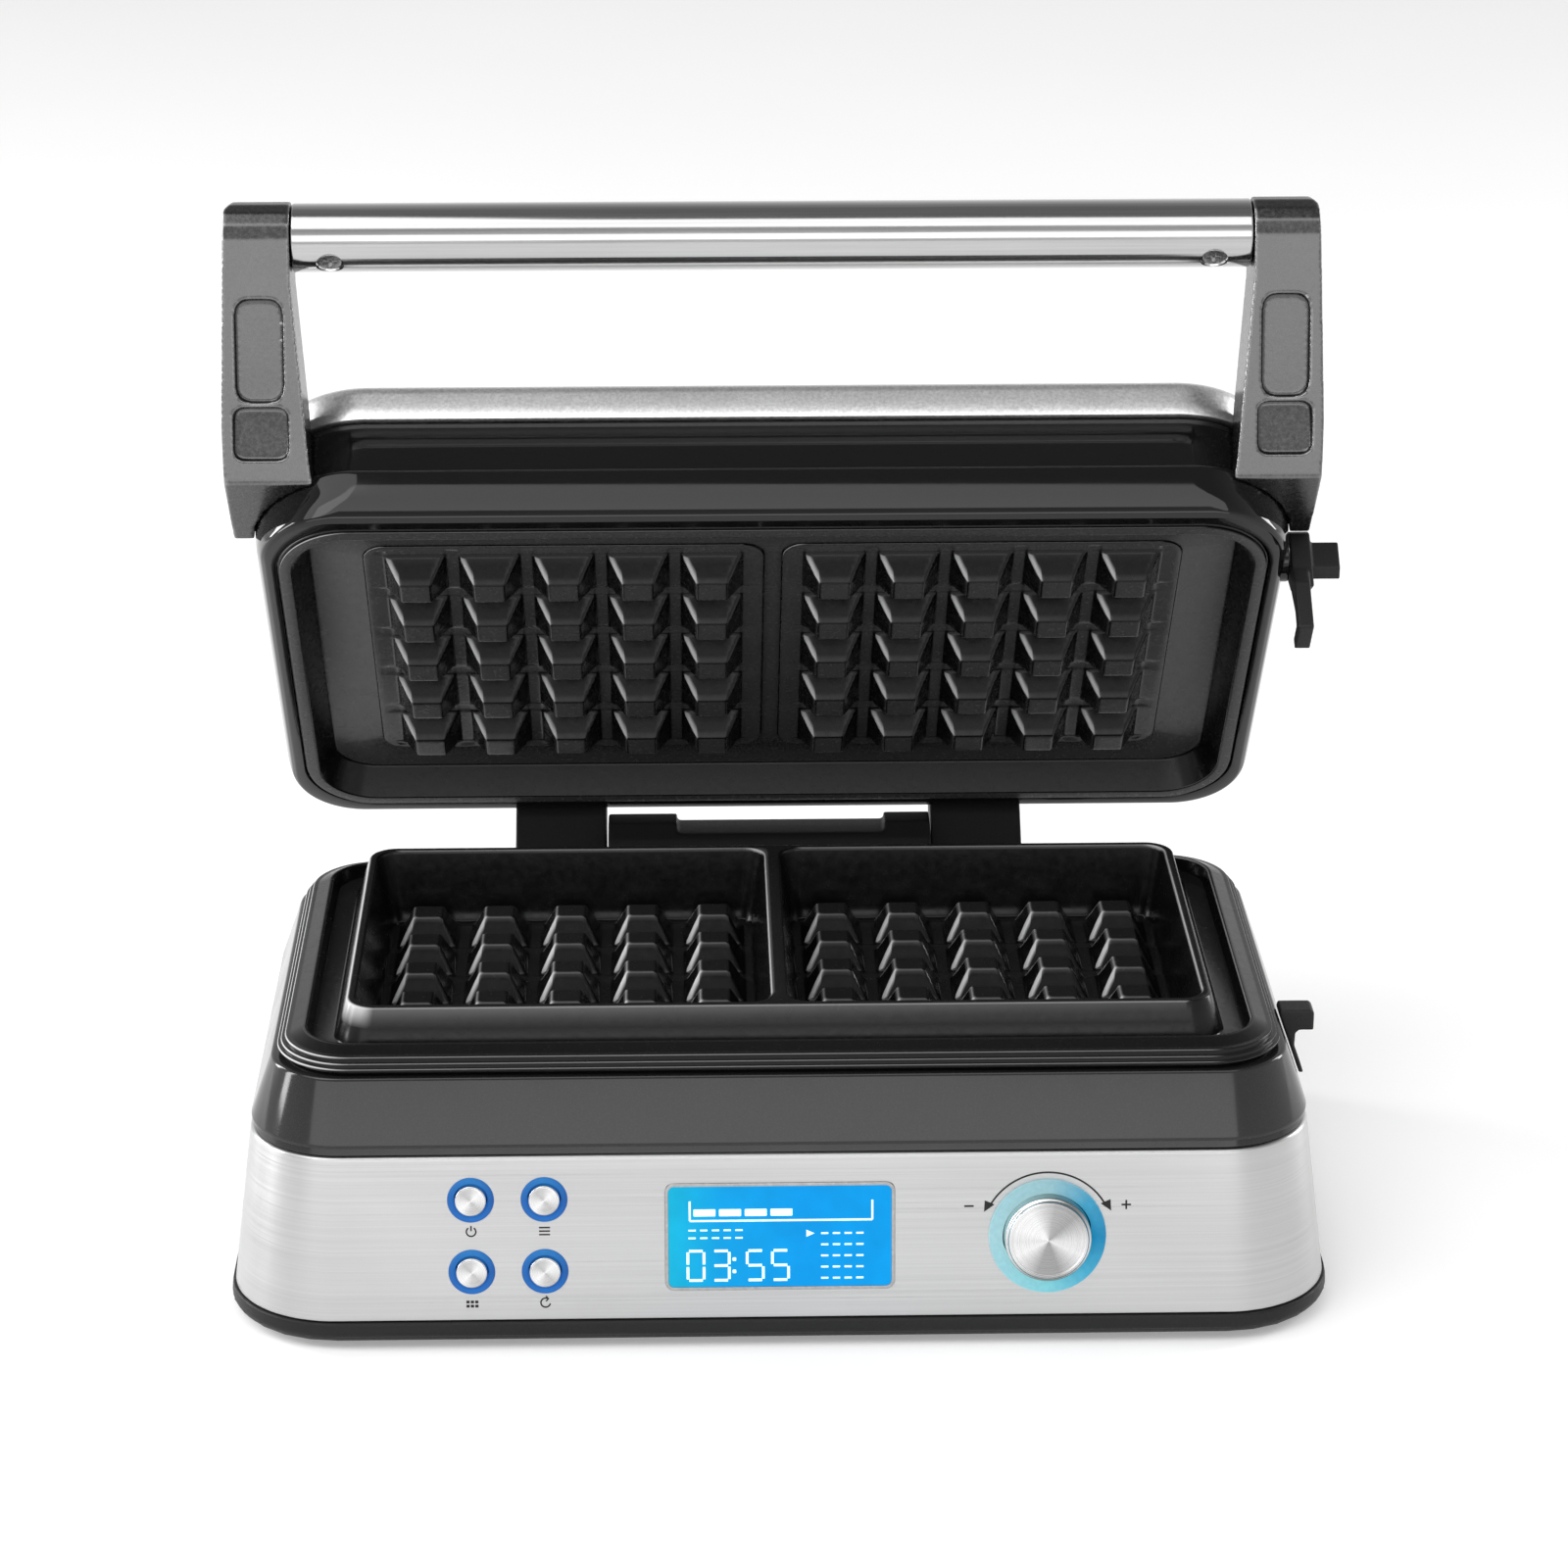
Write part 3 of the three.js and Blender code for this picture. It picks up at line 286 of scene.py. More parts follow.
def spun_metal(name, level, highlight_sectors):
    """Turned metal: fine circles about the piece's own Z axis, with painted highlight sectors, bright and dark."""
    material, tree, shader = new_material(name)
    flat = add(tree, "ShaderNodeVectorMath", operation="MULTIPLY")
    flat.inputs[1].default_value = (1, 1, 0)
    tree.links.new(add(tree, "ShaderNodeTexCoord").outputs["Object"], flat.inputs[0])
    radius = add(tree, "ShaderNodeVectorMath", operation="LENGTH")
    tree.links.new(flat.outputs["Vector"], radius.inputs[0])
    rings = add(tree, "ShaderNodeTexNoise", noise_dimensions="1D")
    rings.inputs["Scale"].default_value = 4200
    tree.links.new(radius.outputs["Value"], rings.inputs["W"])
    turn = add(tree, "ShaderNodeTexGradient", gradient_type="RADIAL")
    tree.links.new(add(tree, "ShaderNodeTexCoord").outputs["Object"], turn.inputs["Vector"])
    fine = ramp(tree, rings.outputs["Fac"], [(0.3, level * 0.85), (0.7, level * 1.1)])
    # painted highlight: bright and dark sectors round the axis stand in for the turned metal's reflections
    painted_sectors = ramp(tree, turn.outputs["Fac"], highlight_sectors)
    tree.links.new(multiply(tree, fine, painted_sectors), shader.inputs["Base Color"])
    tree.links.new(ramp(tree, rings.outputs["Fac"], [(0.3, 0.2), (0.7, 0.3)]),
                   shader.inputs["Roughness"])
    shader.inputs["Metallic"].default_value = 1
    shader.inputs["Anisotropic"].default_value = 0.7
    tangent = add(tree, "ShaderNodeTangent", direction_type="RADIAL", axis="Z")
    tree.links.new(tangent.outputs["Tangent"], shader.inputs["Tangent"])
    return material


def lit_ring(name, stops, strength):
    """Frosted light guide whose colour changes around the piece's own Z axis."""
    material, tree, shader = new_material(name)
    turn = add(tree, "ShaderNodeTexGradient", gradient_type="RADIAL")
    tree.links.new(add(tree, "ShaderNodeTexCoord").outputs["Object"], turn.inputs["Vector"])
    frost = ramp(tree, noise(tree, (700, 700, 700)), [(0.3, 0.88), (0.7, 1.0)])
    colour = multiply(tree, ramp(tree, turn.outputs["Fac"], stops), frost)
    tree.links.new(colour, shader.inputs["Emission Color"])
    shader.inputs["Base Color"].default_value = (0.01, 0.04, 0.08, 1)
    shader.inputs["Emission Strength"].default_value = strength
    shader.inputs["Specular IOR Level"].default_value = 0.08
    shader.inputs["Roughness"].default_value = 0.35
    return material


def lit_screen(name):
    """Backlit screen, cyan at its left and blue at its right, under a polished window."""
    material, tree, shader = new_material(name)
    across = add(tree, "ShaderNodeTexGradient", gradient_type="LINEAR")
    shift = add(tree, "ShaderNodeMapping")
    half = SCREEN_HALF[0] * MM
    shift.inputs["Location"].default_value = (0.5, 0, 0)
    shift.inputs["Scale"].default_value = (0.5 / half, 1, 1)
    tree.links.new(add(tree, "ShaderNodeTexCoord").outputs["Object"], shift.inputs["Vector"])
    tree.links.new(shift.outputs["Vector"], across.inputs["Vector"])
    glow = ramp(tree, across.outputs["Fac"], [
        (0.0, (0.012, 0.52, 0.74)), (0.25, (0.006, 0.38, 0.82)), (0.6, (0.004, 0.34, 0.84)),
        (1.0, (0.003, 0.36, 0.86)),
    ])
    cloud = ramp(tree, noise(tree, (90, 90, 90), 2), [(0.3, 0.85), (0.7, 1.0)])
    colour = multiply(tree, glow, cloud)
    tree.links.new(colour, shader.inputs["Emission Color"])
    shader.inputs["Base Color"].default_value = (0.002, 0.03, 0.08, 1)
    shader.inputs["Emission Strength"].default_value = 1.0
    shader.inputs["Specular IOR Level"].default_value = 0.04
    shader.inputs["Roughness"].default_value = 0.12
    return material


def lit_segment(name):
    """Pale lit strokes of the screen."""
    material, tree, shader = new_material(name)
    glow = ramp(tree, noise(tree, (500, 500, 500)), [(0.3, (0.5, 0.8, 0.9)), (0.7, (0.72, 0.93, 1.0))])
    tree.links.new(glow, shader.inputs["Emission Color"])
    tree.links.new(glow, shader.inputs["Base Color"])
    shader.inputs["Emission Strength"].default_value = 0.6
    shader.inputs["Roughness"].default_value = 0.3
    return material


UPPER_FACE = (0, -math.sin(OPEN_ANGLE), -math.cos(OPEN_ANGLE))

STEEL = brushed_steel("brushed_stainless", 0.55, (5, 5, 2200), (0.26, 0.42), 0.6, 0.25)
BAR_STEEL = brushed_steel("satin_bar", 0.52, (12, 1500, 1500), (0.1, 0.17), 0.0)
FIXING = brushed_steel("bright_fixing", 0.5, (900, 900, 900), (0.22, 0.34), 0.0)
INNER_METAL = brushed_steel("inner_sheet_metal", 0.5, (300, 300, 300), (0.35, 0.5), 0.0)
COVER_METAL = grainy_metal("satin_cover", 0.85, (0.28, 0.38), 1100)
# the arm casting carries painted edge highlights and painted crease shade
CAST_METAL = grainy_metal("die_cast_arm", 0.12, (0.2, 0.32), 900, 2.5)
GLOSS = gloss_plastic("gloss_black", 0.004, (0.04, 0.08))
COLLAR_GLOSS = gloss_plastic("collar_gloss_black", 0.012, (0.1, 0.16))
MATT = textured_plastic("matt_black", 0.008)
TRIM_BLACK = textured_plastic("trim_black", 0.005, (0.4, 0.55), 1500)
RUBBER = textured_plastic("soft_rubber", 0.012, (0.7, 0.9), 1200)
# both plate coatings paint a sheen on the faces that look along their given direction
COATING = plate_coating("non_stick_upper", 0.003, 0.045, UPPER_FACE, (0.2, 0.3))
LOWER_COATING = plate_coating("non_stick_lower", 0.004, 0.016, (0, 0, 1), (0.18, 0.28))
BOARD = textured_plastic("lacquered_board", 0.06, (0.3, 0.45), 600)
PRINT = textured_plastic("printed_mark", 0.008, (0.4, 0.5), 900)
SEGMENT = lit_segment("screen_segment")
BEZEL = grainy_metal("screen_bezel", 0.42, (0.3, 0.4), 900)
KNOB_METAL = spun_metal("spun_knob", 0.8, [  # painted highlight sectors, from the left round by the bottom, right and top
    (0.0, 0.85), (0.07, 0.95), (0.2, 0.42), (0.3, 0.4), (0.43, 0.9), (0.5, 0.8), (0.62, 0.42),
    (0.72, 0.5), (0.84, 1.0), (0.93, 1.0), (1.0, 0.85),
])
KEY_METAL = spun_metal("spun_key", 0.8, [
    (0.0, 0.85), (0.12, 1.0), (0.25, 0.7), (0.37, 0.6), (0.5, 0.85), (0.62, 1.0), (0.75, 0.7),
    (0.87, 0.6), (1.0, 0.85),
])
KEY_LIGHT = lit_ring("key_light", [
    (0.0, (0.02, 0.13, 0.5)), (0.3, (0.02, 0.16, 0.6)), (0.5, (0.015, 0.1, 0.42)),
    (0.75, (0.03, 0.22, 0.62)), (1.0, (0.02, 0.13, 0.5)),
], 0.8)
KNOB_LIGHT = lit_ring("knob_light", [
    (0.0, (0.5, 0.82, 0.84)), (0.25, (0.3, 0.8, 0.85)), (0.38, (0.08, 0.5, 0.72)),
    (0.5, (0.01, 0.27, 0.52)), (0.62, (0.07, 0.42, 0.64)), (0.75, (0.42, 0.68, 0.7)),
    (1.0, (0.5, 0.82, 0.84)),
], 0.8)
SCREEN = lit_screen("lit_screen")
OWN_SPACE = (KNOB_METAL, KEY_METAL, KEY_LIGHT, KNOB_LIGHT, SCREEN)  # patterned about the piece

NODE_MATERIAL = {
    "stainless": STEEL, "gloss_black": GLOSS, "moulded_black": MATT, "plate_coating": COATING,
    "satin_metal": COVER_METAL, "bar_metal": BAR_STEEL, "spun_metal": KNOB_METAL,
    "fixing_steel": FIXING, "inner_metal": INNER_METAL, "circuit_board": BOARD,
    "screen_face": SCREEN, "window_glass": SCREEN, "light_guide": KEY_LIGHT,
    "soft_rubber": RUBBER,
}

# ---------------------------------------------------------------- mesh tools


def smooth_all(mesh, angle=35):
    """Smooth shading, with edges sharper than an angle kept crisp."""
    work = bmesh.new()
    work.from_mesh(mesh)
    bmesh.ops.recalc_face_normals(work, faces=work.faces)
    for face in work.faces:
        face.smooth = True
    for edge in work.edges:
        if len(edge.link_faces) == 2:
            edge.smooth = edge.calc_face_angle(0) < math.radians(angle)
    work.to_mesh(mesh)
    work.free()


def piece(name, mesh, space, body, material, replaces=(), angle=35):
    """Puts a mesh drawn in millimetres in its space, on its body, with its material."""
    mesh.transform(Matrix.Scale(MM, 4))
    smooth_all(mesh, angle)
    return finish_piece(bpy.data.objects.new(name, mesh), space, body, material, replaces)


def finish_piece(obj, space, body, material, replaces=()):
    if obj.name not in bpy.context.scene.collection.objects:
        bpy.context.scene.collection.objects.link(obj)
    if material in OWN_SPACE:
        obj.matrix_world = space
    else:
        obj.data.transform(space)
    obj.data.materials.clear()
    obj.data.materials.append(material)
    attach(obj, body)
    if replaces:
        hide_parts(*replaces)
    return obj


def mesh_of(vertices, faces):
    mesh = bpy.data.meshes.new("shape")
    mesh.from_pydata([tuple(v) for v in vertices], [], faces)
    mesh.validate()
    return mesh


def joined(*meshes):
    """One mesh of several."""
    work = bmesh.new()
    for mesh in meshes:
        work.from_mesh(mesh)
        bpy.data.meshes.remove(mesh)
    result = bpy.data.meshes.new("shape")
    work.to_mesh(result)
    work.free()
    return result


def fillets(points, closed=True, steps=4):
    """Rounds the corners of an outline; a point is (u, v, reach of its rounding)."""
    result = []
    count = len(points)
    for i, (u, v, reach) in enumerate(points):
        here = Vector((u, v))
        if reach == 0 or (not closed and i in (0, count - 1)):
            result.append((u, v))
            continue
        back = Vector(points[i - 1][:2]) - here
        ahead = Vector(points[(i + 1) % count][:2]) - here
        start = here + back.normalized() * min(reach, 0.45 * back.length)
        end = here + ahead.normalized() * min(reach, 0.45 * ahead.length)
        for k in range(steps + 1):
            t = k / steps
            result.append(tuple(start * (1 - t) ** 2 + here * 2 * t * (1 - t) + end * t * t))
    return result


def loop(half_x, half_y, radius, steps=16):
    """A rounded rectangle, as x, y points."""
    points = []
    for quarter, (sx, sy) in enumerate(((1, 1), (-1, 1), (-1, -1), (1, -1))):
        for i in range(steps + 1):
            angle = math.pi / 2 * (quarter + i / steps)
            points.append((
                sx * (half_x - radius) + radius * math.cos(angle),
                sy * (half_y - radius) + radius * math.sin(angle),
            ))
    return points


def inset_level(z, size, inset):
    half_x, half_y, radius = size
    return (z, half_x - inset, half_y - inset, max(radius - inset, 0.6))


def between(z, heights, sizes):
    """The rounded rectangle of a tapered wall at a height."""
    share = (z - heights[0]) / (heights[1] - heights[0])
    return tuple(a + (b - a) * share for a, b in zip(*sizes))


def skin(levels, closed=False, steps=16):
    """Joins rounded rectangles, (z, half x, half y, radius), into one surface."""
    loops = [[(x, y, z) for x, y in loop(hx, hy, r, steps)] for z, hx, hy, r in levels]
    count = len(loops[0])
    vertices = [point for ring in loops for point in ring]
    faces = []
    rows = len(loops)
    for row in range(rows if closed else rows - 1):
        a, b = row * count, (row + 1) % rows * count
        for i in range(count):
            j = (i + 1) % count
            faces.append((a + i, a + j, b + j, b + i))
    if not closed:
        faces.append(tuple(reversed(range(count))))
        faces.append(tuple(range((rows - 1) * count, rows * count)))
    return mesh_of(vertices, faces)


def section_levels(section, heights, sizes):
    """Levels of a wall whose section is (height, inset, rounding), on a tapered body."""
    result = []
    for z, inset in fillets(section):
        result.append(inset_level(z, between(z, heights, sizes), inset))
    return result


def turned(profile, sides=64):
    """A turned piece about Z from a closed outline of (radius, z) points."""
    vertices, faces = [], []
    rows = len(profile)
    for i in range(sides):
        angle = 2 * math.pi * i / sides
        vertices += [(r * math.cos(angle), r * math.sin(angle), z) for r, z in profile]
    for i in range(sides):
        a, b = i * rows, (i + 1) % sides * rows
        for k in range(rows):
            m = (k + 1) % rows
            faces.append((a + k, b + k, b + m, a + m))
    mesh = mesh_of(vertices, faces)
    work = bmesh.new()
    work.from_mesh(mesh)
    bmesh.ops.remove_doubles(work, verts=work.verts, dist=1e-4)
    bmesh.ops.dissolve_degenerate(work, edges=work.edges, dist=1e-5)
    work.to_mesh(mesh)
    work.free()
    return mesh


def slab(outline, low, high):
    """A flat piece: an x, y outline between two heights."""
    count = len(outline)
    vertices = [(x, y, low) for x, y in outline] + [(x, y, high) for x, y in outline]
    faces = [tuple(reversed(range(count))), tuple(range(count, 2 * count))]
    for i in range(count):
        j = (i + 1) % count
        faces.append((i, j, count + j, count + i))
    return mesh_of(vertices, faces)


def moved(mesh, matrix):
    mesh.transform(matrix)
    return mesh


def shifted(mesh, x, y, z=0):
    return moved(mesh, Matrix.Translation((x, y, z)))


def modified(obj, *modifiers):
    """Applies modifiers, each a (type, settings) pair, to an object and returns its new mesh."""
    bpy.context.scene.collection.objects.link(obj)
    for kind, settings in modifiers:
        modifier = obj.modifiers.new(kind, kind)
        for key, value in settings.items():
            setattr(modifier, key, value)
    bpy.context.view_layer.update()
    evaluated = obj.evaluated_get(bpy.context.evaluated_depsgraph_get())
    mesh = bpy.data.meshes.new_from_object(evaluated)
    bpy.data.objects.remove(obj)
    return mesh


def carved(mesh, tools):
    """A mesh with others cut from it."""
    cutter = bpy.data.objects.new("cutter", joined(*tools))
    bpy.context.scene.collection.objects.link(cutter)
    settings = {"object": cutter, "operation": "DIFFERENCE", "solver": "EXACT"}
    result = modified(bpy.data.objects.new("work", mesh), ("BOOLEAN", settings))
    bpy.data.objects.remove(cutter)
    return result


def moulded(node, name, voxel, rounds, body, material):
    """A softly rounded casting or moulding in the place of a CAD node."""
    source = bpy.data.objects.new("work", frame["nodes"][node].data.copy())
    mesh = modified(
        source,
        ("REMESH", {"mode": "VOXEL", "voxel_size": voxel * MM}),
        ("SMOOTH", {"factor": 0.5, "iterations": rounds}),
    )
    smooth_all(mesh, 60)
    return finish_piece(bpy.data.objects.new(name, mesh), Matrix(), body, material, [node])


# ---------------------------------------------------------------- the base


def trim_band():
    section = [(2.6, 2.2, 0.5), (3.2, 0.9, 0.8), (4.9, 0, 0.8), (7.9, 0.25, 0.5), (8.25, 0.7, 0.2),
               (8.25, 2.2, 0), (4, 2.6, 0)]
    mesh = skin(section_levels(section, (0, 10), (TRIM, TRIM)), closed=True)
    piece("trim_band", mesh, BASE, "base", TRIM_BLACK)


def steel_band():
    """Brushed band with a rolled top edge, cut through for the screen, the keys and the knob."""
    section = [(8.6, 0, 0.25), (54.7, 0, 1.0), (54.7, 4.5, 0.2), (53.5, 4.5, 0.2), (53.5, 1.2, 0),
               (8.6, 1.05, 0.2)]
    band = skin(section_levels(section, BAND_Z, BAND), closed=True, steps=24)
    to_base = BASE.inverted() @ PANEL
    to_base.translation = to_base.translation / MM
    cutters = [shifted(slab(loop(*SCREEN_HALF, 1.2, 4), -6, 6), SCREEN_X, 0)]
    holes = [(*KNOB_AT, KNOB_RING + HOLE_GAP)]
    holes += [(x, v, KEY_RING + HOLE_GAP) for x in KEY_COLUMNS for v in KEY_ROWS]
    for x, v, radius in holes:
        cutters.append(shifted(turned([(0, -6), (radius, -6), (radius, 6), (0, 6)], 48), x, v))
    band = carved(band, [moved(mesh, to_base) for mesh in cutters])
    piece("steel_band", band, BASE, "base", STEEL, ["base_shell"], 30)


def collar():
    section = [(75.4, 0, 0.9), (75.4, 6.6, 0.3), (72.2, 6.6, 0), (72.2, 3, 0), (57.3, 3.2, 0),
               (55.0, 4.6, 0), (55.0, 1.7, 0.2), (57.2, 1.7, 0.2), (57.3, 0.3, 0.2), (58.0, 0, 0.4)]
    mesh = skin(section_levels(section, COLLAR_Z, COLLAR), closed=True, steps=24)
    piece("gloss_collar", mesh, BASE, "base", COLLAR_GLOSS, ["base_collar"])


def screw_head(radius, height):
    """A countersunk head with a cross recess, its face up at z = 0."""
    head = turned(fillets([(0, 0, 0), (radius, 0, 0.25), (radius, -0.5, 0.1),
                           (radius * 0.5, -height, 0), (0, -height, 0)]), 32)
    arm, slot_width = radius * 0.62, radius * 0.15
    for half_x, half_y in ((arm, slot_width), (slot_width, arm)):
        head = carved(head, [slab(loop(half_x, half_y, 0.1, 2), -0.7, 1)])
    return head


def feet_and_screws():
    pad = fillets([(0, 0, 0), (8.4, 0, 0.8), (10, 2.2, 0.3), (0, 2.2, 0)])
    dimple = [(0, 0), (3.4, 0), (3.9, 0.45), (4.6, 0.45), (5.1, 0)]
    profile = dimple + pad[1:-1] + [(0, 2.2)]
    for node in ("foot_front_left", "foot_front_right", "foot_back_left", "foot_back_right"):
        low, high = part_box(node)
        space = Matrix.Translation(((low.x + high.x) / 2, (low.y + high.y) / 2, 0))
        piece(f"rubber_{node}", turned(profile, 48), space, "base", RUBBER, [node])
    for number in range(1, 5):
        node = f"tray_screw_{number}"
        low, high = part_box(node)
        space = Matrix.Translation(((low.x + high.x) / 2, (low.y + high.y) / 2, low.z))
        space = space @ Matrix.Rotation(math.pi, 4, "X")
        piece(f"cross_{node}", screw_head(3.4, 2.6), space, "base", FIXING, [node])


def cord_inlet():
    """Ribbed bush in the back wall, without any cord."""
    ribs = []
    for i in range(4):
        z = 2.2 + i * 1.6
        ribs += [(7.4 - 0.45 * i, z, 0.3), (7.4 - 0.45 * i, z + 0.8, 0.3),
                 (6.5 - 0.45 * i, z + 0.8, 0.2), (6.5 - 0.45 * i, z + 1.6, 0.2)]
    outline = [(3.6, -6, 0), (7, -6, 0), (7, 1.05, 0), (10, 1.05, 0.5), (10, 1.7, 0.5),
               (7.4, 2.2, 0.3)] + ribs + [(5.2, 9, 0.4), (3.6, 9, 0.4)]
    x, y, z = CORD_AT
    space = BASE @ Matrix.Translation((x * MM, y * MM, z * MM)) @ Matrix.Rotation(-math.pi / 2, 4, "X")
    piece("ribbed_cord_inlet", turned(fillets(outline), 48), space, "base", RUBBER,
          ["cord_gland"])


# ---------------------------------------------------------------- the plates


def peg_profile():
    """Distances from a peg's middle and the share of its height there."""
    outline = [(0, 1, 0), (PEG["tip"], 1, 0.9), (PEG["base"], 0, 1.3), (PEG["pitch"] / 2, 0, 0)]
    height = LOWER["tip"] - LOWER["floor"]
    points = fillets([(u, v * height, reach) for u, v, reach in outline], closed=False, steps=5)
    return np.array([u for u, _ in points]), np.array([v / height for _, v in points])


def peg_lines():
    """Grid lines across a field of pegs, close together where the pegs curve."""
    distances, _ = peg_profile()
    half = np.unique(np.concatenate([distances, [2.4, 5.4, 6.2, 7.0]]))
    row = np.concatenate([-half[::-1], half[1:]])
    middles = (np.arange(PEG["rows"]) - (PEG["rows"] - 1) / 2) * PEG["pitch"]
    return np.unique(np.round(np.concatenate([row + m for m in middles]), 4))


def peg_height(lines):
    """Share of the peg height over the grid of lines."""
    pitch = PEG["pitch"]
    distances, shares = peg_profile()
    offset = np.abs((lines + pitch / 2) % pitch - pitch / 2)
    share = np.interp(offset, distances, shares)
    a, b = np.meshgrid(share, share, indexing="ij")
    soft = PEG["soft"]
    return np.minimum(a, b) - np.maximum(soft - np.abs(a - b), 0) ** 2 / (4 * soft)


def onto(x, y, half_x, half_y, radius, reach):
    """Carries a point on the edge of the peg field out to a rounded rectangle."""
    x, y = x * half_x / reach, y * half_y / reach
    straight_x, straight_y = half_x - radius, half_y - radius
    if abs(x) > straight_x and abs(y) > straight_y:
        middle = Vector((math.copysign(straight_x, x), math.copysign(straight_y, y)))
        out = (Vector((x, y)) - middle).normalized() * radius
        return middle + out
    if abs(x) / half_x > abs(y) / half_y:
        return Vector((math.copysign(half_x, x), y))
    return Vector((x, math.copysign(half_y, y)))


def peg_field(work, side, plate, rings):
    """A field of pegs and the rings of the wall around it; returns its last ring of vertices."""
    lines = peg_lines()
    share = peg_height(lines)
    count = len(lines)
    middle = side * POCKET_X
    rise = plate["tip"] - plate["floor"]
    grid = [[work.verts.new((middle + lines[i], lines[j], plate["floor"] + rise * share[i, j]))
             for j in range(count)] for i in range(count)]
    for i in range(count - 1):
        for j in range(count - 1):
            work.faces.new((grid[i][j], grid[i + 1][j], grid[i + 1][j + 1], grid[i][j + 1]))
    last = count - 1
    edge = [(i, 0) for i in range(last)] + [(last, j) for j in range(last)]
    edge += [(i, last) for i in range(last, 0, -1)] + [(0, j) for j in range(last, 0, -1)]
    ring = [grid[i][j] for i, j in edge]
    flat = [(lines[i], lines[j]) for i, j in edge]
    for z, half_x, half_y, radius in rings:
        points = [onto(x, y, half_x, half_y, radius, lines[-1]) for x, y in flat]
        ahead = [work.verts.new((middle + p.x, p.y, z)) for p in points]
        for i in range(len(ring)):
            j = (i + 1) % len(ring)
            work.faces.new((ring[i], ring[j], ahead[j], ahead[i]))
        ring = ahead
    return ring


def waffle_plate(plate, rings, levels):
    """A plate with two fields of pegs; levels run outward from the edge of its flat top."""
    work = bmesh.new()
    fields = [peg_field(work, side, plate, rings) for side in (-1, 1)]
    loops = []
    for z, half_x, half_y, radius in levels:
        loops.append([work.verts.new((x, y, z)) for x, y in loop(half_x, half_y, radius, 20)])
    for inner, outer in zip(loops, loops[1:]):
        for i in range(len(inner)):
            j = (i + 1) % len(inner)
            work.faces.new((inner[i], inner[j], outer[j], outer[i]))
    work.faces.new(loops[-1])
    edges = []
    for ring in [*fields, loops[0]]:
        for i in range(len(ring)):
            pair = (ring[i], ring[(i + 1) % len(ring)])
            edges.append(work.edges.get(pair) or work.edges.new(pair))
    bmesh.ops.triangle_fill(work, use_beauty=True, use_dissolve=False, edges=edges)
    mesh = bpy.data.meshes.new("shape")
    work.to_mesh(mesh)
    work.free()
    return mesh


def lower_plate():
    """Pockets inside a raised wall, an overflow moat around it and a stepped rim."""
    top = LOWER["top"]
    pocket = [(LOWER["floor"], 53.4, 53.4, 3.6), (68.6, 53.8, 53.8, 4), (72, 54.3, 54.3, 4.4),
              (80, 55.6, 55.5, 5.1), (88.6, 57, 56.9, 6), (89.3, 57.15, 57.05, 6.1),
              (89.6, 57.35, 57.25, 6.3), (top, 57.6, 57.5, 6.5)]
    wall = [(top, 118.4, 58.9, 7.4), (top - 0.15, 118.85, 59.35, 7.8), (top - 0.5, 119.1, 59.6, 8),
            (84, 120.7, 60.9, 8.9), (79.4, 122.1, 62.1, 9.7), (78.7, 122.5, 62.5, 10),
            (78.5, 123.2, 63.2, 10.6)]
    section = [(78.5, 10.4, 0), (78.5, 9.4, 0.8), (82.4, 8.3, 0.5), (82.4, 7.3, 0.5),
               (80.7, 3.7, 0.3), (80.6, 2.2, 0.4), (79.2, 2.2, 0.25), (79.2, 1.0, 0.4),
               (78, 1.0, 0.25), (78, 0, 0.4), (77.2, 0, 0.35), (77.2, 2.2, 0.3), (75.8, 2.2, 0.2),
               (75.8, 5.8, 0)]
    rim = [inset_level(z, LOWER_RIM, inset) for z, inset in fillets(section, closed=False)]
    under = [(72.9, 132.4, 66.4, 18), (72.9, 119.4, 60, 9), (62.7, 117.1, 57.6, 7)]
    mesh = waffle_plate(LOWER, pocket, wall + rim + under)
    piece("pegged_lower_plate", mesh, BASE, "base", LOWER_COATING,
          ["lower_plate"], 50)


def upper_plate():
    """Low pads with pegs in a recess that takes the wall of the lower plate."""
    top = UPPER["top"]
    pad = [(UPPER["floor"], 54.4, 53.2, 5), (UPPER["floor"], 56.3, 54.1, 5.8), (89.4, 56.6, 54.4, 6),
           (90.0, 56.75, 54.5, 6.1), (top, 57.1, 54.9, 6.4)]
    section = [(top, 9.4, 0), (top, 8.4, 0.8), (81.1, 4.0, 0.5), (81.1, 0.6, 0.4), (82.1, 0.6, 0.25),
               (82.2, 0, 0.4), (86.3, 0, 0.2), (86.3, 6.2, 0), (96, 7, 0)]
    levels = [inset_level(z, UPPER_RIM, inset) for z, inset in fillets(section, closed=False)]
    mesh = waffle_plate(UPPER, pad, levels)
    piece("pegged_upper_plate", mesh, LID, "lid", COATING, ["upper_plate"], 50)


# ---------------------------------------------------------------- the lid


def flowing(keys, steps=5):
    """A smooth run of levels through key levels."""
    values = [np.array(k, float) for k in keys]
    result = []
    for i in range(len(values) - 1):
        before = values[max(i - 1, 0)]
        a, b = values[i], values[i + 1]
        after = values[min(i + 2, len(values) - 1)]
        for k in range(steps):
            t = k / steps
            point = (2 * a + (b - before) * t + (2 * before - 5 * a + 4 * b - after) * t * t
                     + (3 * a - before - 3 * b + after) * t ** 3)
            result.append(tuple(point / 2))
    result.append(tuple(values[-1]))
    return result


